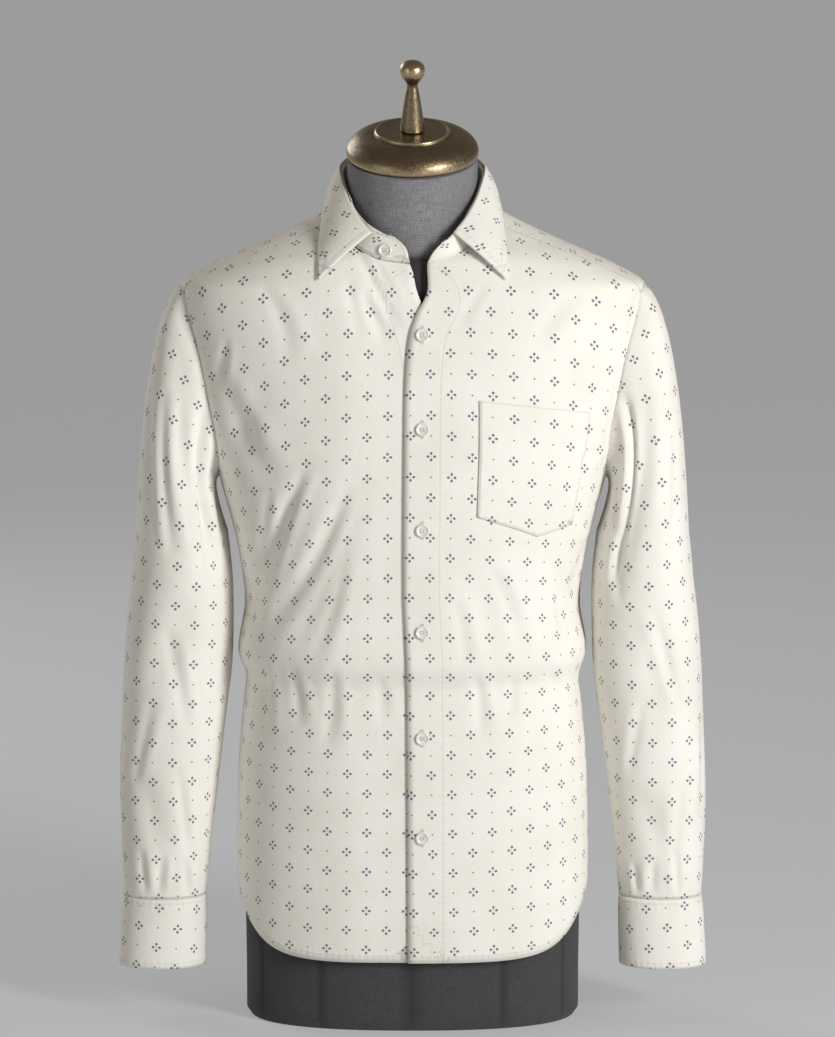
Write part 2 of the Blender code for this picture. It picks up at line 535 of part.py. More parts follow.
def form_body():
    """The limbless form under the shirt: torso, shoulders and neck in one smooth closed body."""
    turns = np.linspace(-180, 180, FORM_RING, endpoint=False)
    rings = []
    for z in FORM_LEVELS:
        loose = 0.0030 + 0.0052 * (1 - smooth(z, 0.690, 0.745)) + 0.0012 * smooth(z, 0.78, 0.80)
        loose = loose + 0.0042 * np.abs(np.cos(np.radians(turns)))
        ring = bare_skin(turns, z) - bare_normal(turns, z) * loose[:, None]
        neck_y = NECK_BASE_Y - NECK_LEAN * (max(z, 0.720) - 0.790)
        r, theta = np.hypot(ring[:, 0], ring[:, 1]), np.arctan2(ring[:, 1], ring[:, 0])
        b = neck_y * np.sin(theta)
        column = b + np.sqrt(b**2 - neck_y**2 + (NECK_RADIUS + 0.02 * smooth(z, 0.80, 0.72))**2)
        share = smooth(z, 0.740, 0.765)
        p = 18.0
        both = (r**p + column**p)**(1 / p)
        r = r + (both - r) * share
        rings.append(np.stack([r * np.cos(theta), r * np.sin(theta), ring[:, 2]], axis=1))
    theta = np.arctan2(rings[-1][:, 1], rings[-1][:, 0])
    for share in (0.35, 1.0):
        z_mid = 0.818 + (CAP_CENTRE[2] - 0.0058 - 0.818) * share
        neck_y = NECK_BASE_Y - NECK_LEAN * (z_mid - 0.790)
        x, y = NECK_RADIUS * np.cos(theta), NECK_RADIUS * np.sin(theta)
        z = z_mid + y * math.tan(CAP_TILT) * share
        rings.append(np.stack([x, y + neck_y, z], axis=1))
    foot = rings[0] * np.array([0.975, 0.965, 0.0])
    rings = [foot] + rings
    bm = bmesh.new()
    loops = [[bm.verts.new(p) for p in ring] for ring in rings]
    for a, b in zip(loops, loops[1:]):
        for c in range(FORM_RING):
            d = (c + 1) % FORM_RING
            bm.faces.new((a[c], a[d], b[d], b[c]))
    for loop, z_row in ((loops[0], rings[0]), (loops[-1], rings[-1])):
        bm.faces.new(loop)
    bmesh.ops.recalc_face_normals(bm, faces=bm.faces)
    bmesh.ops.triangulate(bm, faces=bm.faces)
    mesh = bpy.data.meshes.new("form_body")
    bm.to_mesh(mesh)
    bm.free()
    return new_object("form_body", mesh, "felt")


def turned(name, profile, material, steps):
    """A body turned about the tilted axis of the neck cap, with the Screw modifier."""
    mesh = bpy.data.meshes.new(name)
    mesh.from_pydata([(r, 0, h) for r, h in profile],
                     [(i, i + 1) for i in range(len(profile) - 1)], [])
    obj = new_object(name, mesh, material)
    screw = obj.modifiers.new("turn", "SCREW")
    screw.steps = screw.render_steps = steps
    screw.use_merge_vertices = True
    screw.merge_threshold = 0.00001
    screw.use_smooth_shade = False
    screw.use_normal_flip = True
    obj.matrix_world = Matrix.Translation(CAP_CENTRE) @ Matrix.Rotation(CAP_TILT, 4, "X")
    return obj


FINISHES = {
    "cloth": ((0.88, 0.86, 0.80), 0.85, 0.0), "pearl": ((0.93, 0.92, 0.88), 0.25, 0.0),
    "felt": ((0.30, 0.30, 0.31), 0.95, 0.0), "bronze": ((0.35, 0.27, 0.18), 0.40, 1.0)}

for old in list(bpy.data.objects):
    bpy.data.objects.remove(old)
PARTS = bpy.data.collections.new("shirt_on_dress_form")
bpy.context.scene.collection.children.link(PARTS)

front_panel("front_left", 1)
front_panel("front_right", -1)
back_panel()
yoke()
sleeve("sleeve_left", 1, PICTURE_RIGHT_FOLDS)
sleeve("sleeve_right", -1, PICTURE_LEFT_FOLDS)
cuff("cuff_left", 1)
cuff("cuff_right", -1)
STAND_GRID = collar_stand()
collar_leaf()
pocket()
buttons(STAND_GRID)
form_body()
turned("neck_cap", CAP_PROFILE, "bronze", 32)
turned("finial", FINIAL_PROFILE, "bronze", 20)
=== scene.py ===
"""Long-sleeved printed shirt on a limbless dress form: the finishes and the camera.

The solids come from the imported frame. Each cut piece of the shirt is laid again here as a thin
shell of cloth on the form of its solid, with finer creases, its weave, its small print and its
stitching. All sizes are metres, front towards -Y, +X on the image right.
"""
import json
import logging
import math
from dataclasses import dataclass, field
from enum import Enum
from typing import ClassVar, Sequence

import bmesh
import bpy
import numpy as np
from mathutils import Euler, Matrix, Vector

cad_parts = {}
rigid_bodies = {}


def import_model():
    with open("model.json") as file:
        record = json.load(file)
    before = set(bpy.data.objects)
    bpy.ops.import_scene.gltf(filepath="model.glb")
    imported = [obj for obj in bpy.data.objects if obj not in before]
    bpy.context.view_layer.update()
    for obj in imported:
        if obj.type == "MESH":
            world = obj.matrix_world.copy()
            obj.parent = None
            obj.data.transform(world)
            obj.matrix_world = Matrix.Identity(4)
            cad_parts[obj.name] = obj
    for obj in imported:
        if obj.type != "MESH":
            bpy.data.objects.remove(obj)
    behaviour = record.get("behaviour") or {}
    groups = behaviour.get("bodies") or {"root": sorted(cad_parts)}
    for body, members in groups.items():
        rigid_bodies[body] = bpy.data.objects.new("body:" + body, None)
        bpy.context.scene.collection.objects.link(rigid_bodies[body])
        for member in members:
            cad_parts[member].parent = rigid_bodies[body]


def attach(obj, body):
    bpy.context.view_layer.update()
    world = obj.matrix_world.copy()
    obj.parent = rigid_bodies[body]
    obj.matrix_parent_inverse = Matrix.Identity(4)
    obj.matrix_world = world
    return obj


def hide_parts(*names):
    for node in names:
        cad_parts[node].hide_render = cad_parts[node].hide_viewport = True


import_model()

LOG = logging.getLogger("shirt_on_dress_form")
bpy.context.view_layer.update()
Grid = np.ndarray
Rows = Sequence[Sequence[float]]
Spot = tuple[float, float, float]
Colour = tuple[float, float, float, float]
PLACKET_X = 0.0095  # the middle of the band in which the two fronts lap
NECK_POINT_Z = 0.7635  # where both fronts end at the neckline
FLIP, TURN = np.array([-1, 1]), np.array([360, 0])  # a place seen from the other side
RIGHT, BACKWARDS, UP = (1, 0, 0), (-1, 0, 0), (0, 0, 1)


class Side(Enum):
    """A side of the garment, by the sign of its x."""

    WEARER_LEFT = 1
    WEARER_RIGHT = -1

    @property
    def word(self) -> str:
        """The side's word in the names of solids."""
        return "left" if self is Side.WEARER_LEFT else "right"


# Smooth tables and grids


def table_value(table: Rows, key: np.ndarray | float, column: int) -> np.ndarray:
    """Reads a column of a table at key, smoothly and without overshoot.

    Args:
        table: rows of numbers, the first of each row being the key.
        key: one or more keys to read at.
        column: the column to read.

    Returns:
        The column's value at each key.
    """
    rows = np.array(table, dtype=float)
    rows = rows[np.argsort(rows[:, 0])]
    x, y = rows[:, 0], rows[:, column]
    step, slope = np.diff(x), np.diff(y) / np.diff(x)
    tangent = np.zeros(len(x))
    tangent[0], tangent[-1] = slope[0], slope[-1]
    for i in range(1, len(x) - 1):
        if slope[i - 1] * slope[i] > 0:
            tangent[i] = 2 / (1 / slope[i - 1] + 1 / slope[i])
    key = np.clip(np.asarray(key, dtype=float), x[0], x[-1])
    i = np.clip(np.searchsorted(x, key) - 1, 0, len(x) - 2)
    t, h = (key - x[i]) / step[i], step[i]
    return ((2 * t**3 - 3 * t**2 + 1) * y[i] + (t**3 - 2 * t**2 + t) * h * tangent[i]
            + (3 * t**2 - 2 * t**3) * y[i + 1] + (t**3 - t**2) * h * tangent[i + 1])


def smooth(value: np.ndarray | float, low: float, high: float) -> np.ndarray:
    """Returns a soft step of value, from 0 at low to 1 at high."""
    t = np.clip((value - low) / (high - low), 0, 1)
    return t * t * (3 - 2 * t)


def resample(points: Rows, count: int | None = None, steps: Sequence[float] | None = None) -> Grid:
    """Spreads points along a smooth line.

    Args:
        points: the line's own points, as (angle, z) places or as x, y, z.
        count: how many points to lay evenly.
        steps: shares of the line's length to lay points at instead.

    Returns:
        The new points, one a row.
    """
    line = np.array(points, dtype=float)
    scale = np.array([0.003, 1.0]) if line.shape[1] == 2 else np.ones(3)
    reach = np.linalg.norm(np.diff(line * scale, axis=0), axis=1)
    length = np.concatenate([[0], np.cumsum(reach)])
    at = np.linspace(0, 1, count) if steps is None else np.asarray(steps)
    rows = np.column_stack([length, line])
    return np.column_stack([table_value(rows, at * length[-1], i + 1)
                            for i in range(line.shape[1])])


def densify(points: Grid, times: int) -> Grid:
    """Lays times - 1 more points between each two, on the same smooth line."""
    index = np.arange(len(points), dtype=float)
    rows = np.column_stack([index, points])
    at = np.linspace(0, len(points) - 1, (len(points) - 1) * times + 1)
    return np.column_stack([table_value(rows, at, i + 1) for i in range(points.shape[1])])


def coons(low: Grid, high: Grid, left: Grid, right: Grid) -> Grid:
    """Fills the patch between four edges.

    Args:
        low: the lower edge, from left to right.
        high: the upper edge, from left to right.
        left: the left edge, upwards.
        right: the right edge, upwards.

    Returns:
        Rows of points, from the lower edge to the upper one.
    """
    s = np.linspace(0, 1, len(low))[None, :, None]
    t = np.linspace(0, 1, len(left))[:, None, None]
    corners = ((1 - s) * (1 - t) * low[0] + s * (1 - t) * low[-1]
               + (1 - s) * t * high[0] + s * t * high[-1])
    return ((1 - t) * low[None] + t * high[None] + (1 - s) * left[:, None] + s * right[:, None]
            - corners)


def grid_normals(grid: Grid) -> Grid:
    """Returns the unit normals of a grid of points: columns to the right, rows upwards."""
    across, up = np.gradient(grid, axis=1), np.gradient(grid, axis=0)
    if np.allclose(grid[:, 0], grid[:, -1], atol=1e-6):
        wrapped = grid[:, 1] - grid[:, -2]
        across[:, 0], across[:, -1] = wrapped, wrapped
    normal = np.cross(across, up)
    return normal / np.maximum(np.linalg.norm(normal, axis=-1, keepdims=True), 1e-12)


def trough(u: np.ndarray, v: np.ndarray, rows: Rows) -> np.ndarray:
    """Depth of soft troughs along lines.

    Args:
        u: first coordinate of each point.
        v: second coordinate of each point.
        rows: u from, v from, u to, v to, half width, depth (negative for a ridge).

    Returns:
        The depth at each point.
    """
    total = np.zeros(np.shape(u))
    for u0, v0, u1, v1, width, depth in rows:
        along = ((u - u0) * (u1 - u0) + (v - v0) * (v1 - v0)) / ((u1 - u0)**2 + (v1 - v0)**2)
        near = np.clip(along, 0, 1)
        away = np.hypot(u - u0 - near * (u1 - u0), v - v0 - near * (v1 - v0)) / width
        total = total + depth * np.exp(-away**2) * np.sin(np.pi * np.clip(near, 0.08, 0.92))
    return total


def crease(u: np.ndarray, v: np.ndarray, rows: Rows) -> np.ndarray:
    """Depth of bent creases, each a narrow trough with a softer ridge on one side.

    Args:
        u: first coordinate of each point.
        v: second coordinate of each point.
        rows: u from, v from, u to, v to, bow to one side, half width, depth.

    Returns:
        The depth at each point.
    """
    total = np.zeros(np.shape(u))
    for u0, v0, u1, v1, bow, width, depth in rows:
        length = math.hypot(u1 - u0, v1 - v0)
        du, dv = (u1 - u0) / length, (v1 - v0) / length
        along = ((u - u0) * du + (v - v0) * dv) / length
        side = -(u - u0) * dv + (v - v0) * du - bow * 4 * along * (1 - along)
        fade = np.sin(np.pi * np.clip(along, 0, 1))**0.8
        fade = fade * (along > 0) * (along < 1)
        spread = width * (0.75 + 0.6 * np.clip(along, 0, 1))
        shape = np.exp(-(side / spread)**2) - 0.55 * np.exp(-((side - 2.1 * spread) / spread)**2)
        total = total + depth * fade * shape
    return total


def ripple(u: np.ndarray, v: np.ndarray, reach: float, phase: float) -> np.ndarray:
    """Returns a quiet unevenness of hanging cloth, within -1 and 1, longer up than across."""
    a = np.sin(u / reach * 6.1 + 1.7 * np.sin(v / reach * 1.3 + phase) + phase)
    b = np.sin(v / reach * 2.3 - u / reach * 2.9 + 2.1 * phase + 0.8 * np.sin(u / reach * 4.0))
    c = np.sin(v / reach * 5.1 + u / reach * 3.7 + 3.3 * phase)
    return 0.5 * a + 0.3 * b + 0.2 * c


# The garment's own shape


@dataclass
class ShirtSkin:
    """The outer skin of the shirt's body: a stack of rounded sections with its large folds."""

    roundness: float = 2.4
    sections: Rows = (  # z, half width, front depth, back depth
        (0.050, 0.1760, 0.108, 0.122), (0.150, 0.1770, 0.111, 0.124),
        (0.250, 0.1750, 0.114, 0.122), (0.315, 0.1700, 0.115, 0.116),
        (0.344, 0.1670, 0.114, 0.110), (0.372, 0.1745, 0.122, 0.117),
        (0.420, 0.1680, 0.118, 0.111), (0.470, 0.1735, 0.120, 0.114),
        (0.540, 0.1910, 0.122, 0.120), (0.580, 0.2030, 0.120, 0.124),
        (0.645, 0.2180, 0.113, 0.124), (0.690, 0.2255, 0.106, 0.119),
        (0.720, 0.2300, 0.101, 0.113), (0.736, 0.2305, 0.098, 0.109),
        (0.757, 0.2000, 0.090, 0.101), (0.768, 0.1755, 0.084, 0.096),
        (0.7865, 0.1335, 0.062, 0.088), (0.8026, 0.1005, 0.043, 0.080),
        (0.812, 0.0850, 0.036, 0.075), (0.830, 0.0700, 0.030, 0.066))
    front_folds: Rows = (  # x from, z from, x to, z to, half width, depth
        (-0.108, 0.545, -0.158, 0.410, 0.017, 0.0050),
        (-0.058, 0.548, -0.122, 0.372, 0.017, 0.0045),
        (-0.150, 0.640, -0.182, 0.560, 0.015, 0.0035),
        (0.150, 0.470, 0.165, 0.370, 0.016, 0.0035),
        (0.060, 0.470, 0.085, 0.375, 0.018, 0.0030),
        (-0.060, 0.735, -0.012, 0.690, 0.012, 0.0025))
    back_folds: Rows = (
        (-0.090, 0.640, -0.105, 0.400, 0.020, 0.0045),
        (0.085, 0.650, 0.110, 0.390, 0.020, 0.0045),
        (0.010, 0.560, -0.020, 0.370, 0.018, 0.0030))

    def bare(self, angle: np.ndarray, z: np.ndarray) -> Grid:
        """Returns points of the plain sections at angles (degrees from the front) and heights."""
        angle, z = np.broadcast_arrays(np.asarray(angle, float), np.asarray(z, float))
        s, c = np.sin(np.radians(angle)), np.cos(np.radians(angle))
        deep = np.where(c > 0, table_value(self.sections, z, 2), table_value(self.sections, z, 3))
        power = 2 / self.roundness
        x = table_value(self.sections, z, 1) * np.sign(s) * np.abs(s)**power
        return np.stack([x, -deep * np.sign(c) * np.abs(c)**power, z], axis=-1)

    def normal(self, angle: np.ndarray, z: np.ndarray) -> Grid:
        """Returns the outward normals of the plain sections."""
        angle, z = np.asarray(angle, float), np.asarray(z, float)
        across = self.bare(angle + 0.4, z) - self.bare(angle - 0.4, z)
        up = self.bare(angle, z + 0.0008) - self.bare(angle, z - 0.0008)
        normal = np.cross(across, up)
        return normal / np.linalg.norm(normal, axis=-1, keepdims=True)

    def large_folds(self, angle: np.ndarray, point: Grid) -> np.ndarray:
        """Returns the depth of the large folds at points of the skin."""
        front = np.cos(np.radians(angle)) > 0
        return np.where(front, trough(point[..., 0], point[..., 2], self.front_folds),
                        trough(point[..., 0], point[..., 2], self.back_folds))

    def angle_at(self, x: float, z: float) -> float:
        """Returns the angle on the front where the skin has a given x and z."""
        share = np.clip(np.abs(x) / table_value(self.sections, z, 1), 0, 1)
        return float(np.degrees(np.arcsin(share**(self.roundness / 2))) * np.sign(x))


@dataclass
class Pattern:
    """Where the shirt's pieces meet, as places (angle, z) or (x, z) on its skin."""

    skin: ShirtSkin = field(default_factory=ShirtSkin)
    hem_low: float = 0.072
    hem_rise: float = 0.065
    hem_spread: float = 30.0
    armpit_z: float = 0.545
    side_rows: Sequence[float] = (0.0, 0.14, 0.28, 0.40, 0.475, 0.515, 0.56, 0.62, 0.70, 0.78,
                                  0.86, 0.93, 1.0)
    upper_rows: Sequence[float] = (0.592, 0.638, 0.682, 0.712, 0.738)
    front_armhole: Rows = ((90, 0.545), (80, 0.552), (71, 0.575), (68, 0.610), (68, 0.648),
                           (70, 0.680), (73, 0.705), (76, 0.731))
    back_armhole: Rows = ((90, 0.545), (100, 0.552), (108, 0.575), (111, 0.610),
                          (110.5, 0.648), (107.5, 0.690))
    yoke_armhole: Rows = ((76, 0.731), (83, 0.7365), (90, 0.738), (98, 0.728), (104, 0.710),
                          (107.5, 0.690))
    yoke_back: Rows = ((107.5, 0.690), (125, 0.695), (150, 0.699), (180, 0.700))
    yoke_front: Rows = ((0.0800, 0.800), (0.1265, 0.782), (0.1645, 0.767), (0.1980, 0.752),
                        (0.2247, 0.731))
    neck_front: Rows = ((0.0, 0.7635), (0.030, 0.767), (0.055, 0.778), (0.072, 0.792),
                        (0.080, 0.800))
    neck_back: Rows = ((45.8, 0.800), (62, 0.807), (90, 0.812), (112, 0.818), (140, 0.825),
                       (180, 0.828))
    top_edge: Rows = (  # z, x of the front edge that laps on top
        (0.072, -0.0040), (0.360, -0.0055), (0.450, -0.0085), (0.628, -0.0075),
        (0.694, -0.0035), (0.707, 0.0010), (0.727, 0.0085), (0.741, 0.0155), (0.756, 0.0165),
        (0.7635, 0.0145))
    under_edge: Rows = (  # z, x of the front edge underneath
        (0.072, 0.0290), (0.640, 0.0275), (0.690, 0.0200), (0.727, 0.0085), (0.745, 0.0020),
        (0.7635, -0.0025))

    def hem_z(self, angle: np.ndarray) -> np.ndarray:
        """Returns the height of the shirt-tail hem at an angle."""
        away = (np.abs(angle) - 90) / self.hem_spread
        return self.hem_low + self.hem_rise * np.exp(-away**2)

    def side_seam(self) -> Grid:
        """Returns places up the side seam, from the hem to the armpit."""
        low = float(self.hem_z(90))
        return np.array([(90, low + (self.armpit_z - low) * s) for s in self.side_rows])

    def yoke_seam(self) -> Grid:
        """Returns places along the seam from the neck to the armhole, in front."""
        places = [(self.skin.angle_at(x, z), z) for x, z in self.yoke_front]
        return resample(places, 12)

    def front(self, side: Side, fine: int) -> Grid:
        """Lays the places of one front.

        Args:
            side: the wearer's left front laps on top, the right one lies underneath.
            fine: how many times finer than the solid the grid is.

        Returns:
            Rows of (angle, z) from the hem up, columns from left to right in the picture.
        """
        table = self.top_edge if side is Side.WEARER_LEFT else self.under_edge
        sign = side.value
        right = np.vstack([self.side_seam(), resample(self.front_armhole, 10)[1:]])
        low_z = float(self.hem_z(0))
        edge_z = [low_z + (self.armpit_z - low_z) * s for s in self.side_rows]
        edge_z += self.upper_rows
        edge = [(self.skin.angle_at(sign * float(table_value(table, z, 1)), z), z)
                for z in edge_z]
        start = sign * float(table_value(table, NECK_POINT_Z, 1))
        neck = [(start, NECK_POINT_Z)] + list(self.neck_front[1:])
        neck = resample([(self.skin.angle_at(x, z), z) for x, z in neck], 4)
        left = densify(np.vstack([edge, neck]), fine)
        right = densify(right, fine)
        high = densify(self.yoke_seam(), fine)
        low = np.linspace(left[0, 0], right[0, 0], len(high))
        low = np.column_stack([low, self.hem_z(low)])
        left[0], right[0], left[-1], right[-1] = low[0], low[-1], high[0], high[-1]
        places = coons(low, high, left, right)
        return places if sign > 0 else places[:, ::-1] * FLIP

    def back(self, fine: int) -> Grid:
        """Returns the places of the back, from the image right round to the image left."""
        right = np.vstack([self.side_seam(), resample(self.back_armhole, 7)[1:]])
        right = densify(right, fine)
        left = right * FLIP + TURN
        half = densify(resample(self.yoke_back, 10), fine)
        high = np.vstack([half, half[-2::-1] * FLIP + TURN])
        low = np.linspace(90, 270, len(high))
        low = np.column_stack([low, self.hem_z(np.where(low > 180, 360 - low, low))])
        return coons(low, high, right, left)

    def yoke(self, fine: int) -> Grid:
        """Returns the places of the yoke, from the right front seam round the back."""
        low = np.vstack([resample(self.yoke_armhole, 8), resample(self.yoke_back, 10)[1:]])
        high = np.vstack([resample(self.neck_back[:4], 8), resample(self.neck_back[3:], 10)[1:]])
        low, high = densify(low, fine), densify(high, fine)
        low = np.vstack([low, low[-2::-1] * FLIP + TURN])
        high = np.vstack([high, high[-2::-1] * FLIP + TURN])
        seam = densify(self.yoke_seam()[::-1], fine)
        return coons(low, high, seam, seam * FLIP + TURN)

    def neckline(self, start_x: float, sign: int) -> Grid:
        """Returns points of the neckline on one side, from the front end to the back centre."""
        front = [(start_x, NECK_POINT_Z)] + list(self.neck_front[1:-1])
        places = [(self.skin.angle_at(x, z), z) for x, z in front] + list(self.neck_back)
        points = self.skin.bare(np.array([p[0] for p in places]),
                                np.array([p[1] for p in places]))
        return points * np.array([sign, 1, 1])

    def armhole_loop(self, fine: int) -> tuple[Grid, np.ndarray]:
        """Returns the closed loop of an armhole and each point's turn round the sleeve."""
        rows = np.vstack([resample(self.yoke_armhole, 8)[::-1],
                          resample(self.front_armhole, 10)[::-1][1:],
                          resample(self.back_armhole, 7)[1:]])
        rows = densify(rows, fine)[:-1]
        loop = self.skin.bare(rows[:, 0], rows[:, 1])
        reach = np.linalg.norm(np.roll(loop, -1, axis=0) - loop, axis=1)
        along = np.concatenate([[0], np.cumsum(reach)[:-1]])
        over = 7 * fine + 1  # the points over the yoke, whose angles fall
        top = np.interp(-90, -rows[:over, 0], along[:over])
        turns = 2 * np.pi * (along - top) / reach.sum()
        inward = loop.mean(axis=0) - loop
        inward = inward / np.linalg.norm(inward, axis=1, keepdims=True)
        return loop + inward * 0.0002, turns


@dataclass
class Tube:
    """A sleeve with its cuff: sections of a tube down the arm."""

    sleeve: Rows = (  # z, x of the centre, y of the centre, half width, half depth
        (0.490, 0.2305, 0.000, 0.0460, 0.068), (0.450, 0.2303, -0.002, 0.0502, 0.064),
        (0.400, 0.2328, -0.004, 0.0535, 0.058), (0.360, 0.2350, -0.006, 0.0543, 0.055),
        (0.300, 0.2400, -0.008, 0.0520, 0.050), (0.230, 0.2455, -0.010, 0.0490, 0.045),
        (0.170, 0.2483, -0.011, 0.0448, 0.040), (0.1228, 0.2495, -0.012, 0.0415, 0.034))
    cuff: Rows = (
        (0.1226, 0.2497, -0.012, 0.0419, 0.0343), (0.1000, 0.2505, -0.012, 0.0432, 0.0352),
        (0.0520, 0.2525, -0.012, 0.0440, 0.0360))
    corner: float = 2.15
    head_z: float = 0.490  # the sleeve is a plain tube from here down
    end_z: float = 0.1228  # where the sleeve meets its cuff

    def ring(self, table: Rows, z: float, turns: np.ndarray) -> Grid:
        """Returns the plain section of a tube at one height."""
        x, y, wide, deep = (float(table_value(table, z, i)) for i in (1, 2, 3, 4))
        c, s = np.cos(turns), np.sin(turns)
        power = 2 / self.corner
        return np.stack([x + wide * np.sign(c) * np.abs(c)**power,
                         y - deep * np.sign(s) * np.abs(s)**power,
                         np.full(len(turns), z)], axis=1)

    def sleeve_grid(self, pattern: Pattern, fine: int) -> tuple[Grid, np.ndarray]:
        """Returns rows of rings from the cuff up to the armhole, and the turns of a ring."""
        start, turns = pattern.armhole_loop(fine)
        end = self.ring(self.sleeve, self.head_z, turns)
        control = end.copy()
        control[:, 0] += 0.0035 - 0.0145 * np.cos(turns)
        control[:, 1] *= 1.04
        control[:, 2] += 0.9 * (start[:, 2] - end[:, 2])
        rows = [(1 - t)**2 * start + 2 * t * (1 - t) * control + t**2 * end
                for t in np.linspace(0, 1, 15 * fine // 2, endpoint=False)]
        rows += [self.ring(self.sleeve, z, turns)
                 for z in np.linspace(self.head_z, self.end_z, 24 * fine // 2)]
        return np.array(rows)[::-1], turns


# Cloth, its cut and its stitching


def lay_grid(grid: Grid) -> tuple[bmesh.types.BMesh, np.ndarray]:
    """Bends a flat mesh grid to a grid of points.

    Args:
        grid: rows upwards and columns to the right, seen from outside.

    Returns:
        The mesh, and the row and column of each vertex.
    """
    rows, cols = grid.shape[:2]
    bm = bmesh.new()
    bmesh.ops.create_grid(bm, x_segments=cols - 1, y_segments=rows - 1, size=1.0)
    bm.verts.ensure_lookup_table()
    index = np.array([(round((v.co.y + 1) / 2 * (rows - 1)), round((v.co.x + 1) / 2 * (cols - 1)))
                      for v in bm.verts])
    for vert, (row, col) in zip(bm.verts, index):
        vert.co = Vector(grid[row, col])
    return bm, index


def written(name: str, bm: bmesh.types.BMesh) -> bpy.types.Mesh:
    """Returns a new mesh with what a bmesh holds, and frees the bmesh."""
    mesh = bpy.data.meshes.new(name)
    bm.to_mesh(mesh)
    bm.free()
    return mesh


def linked(name: str, data: bpy.types.ID) -> bpy.types.Object:
    """Returns a new object of some data, linked into the scene."""
    obj = bpy.data.objects.new(name, data)
    bpy.context.scene.collection.objects.link(obj)
    return obj


@dataclass(frozen=True)
class Stitching:
    """A line of stitches that follows one edge of a piece at a distance, up to a share of it."""

    edge: str
    inset: float
    upto: float = 1.0


def stitched(**insets: float) -> tuple[Stitching, ...]:
    """Returns a line of stitches along each edge that is named, at its inset."""
    return tuple(Stitching(edge, inset) for edge, inset in insets.items())


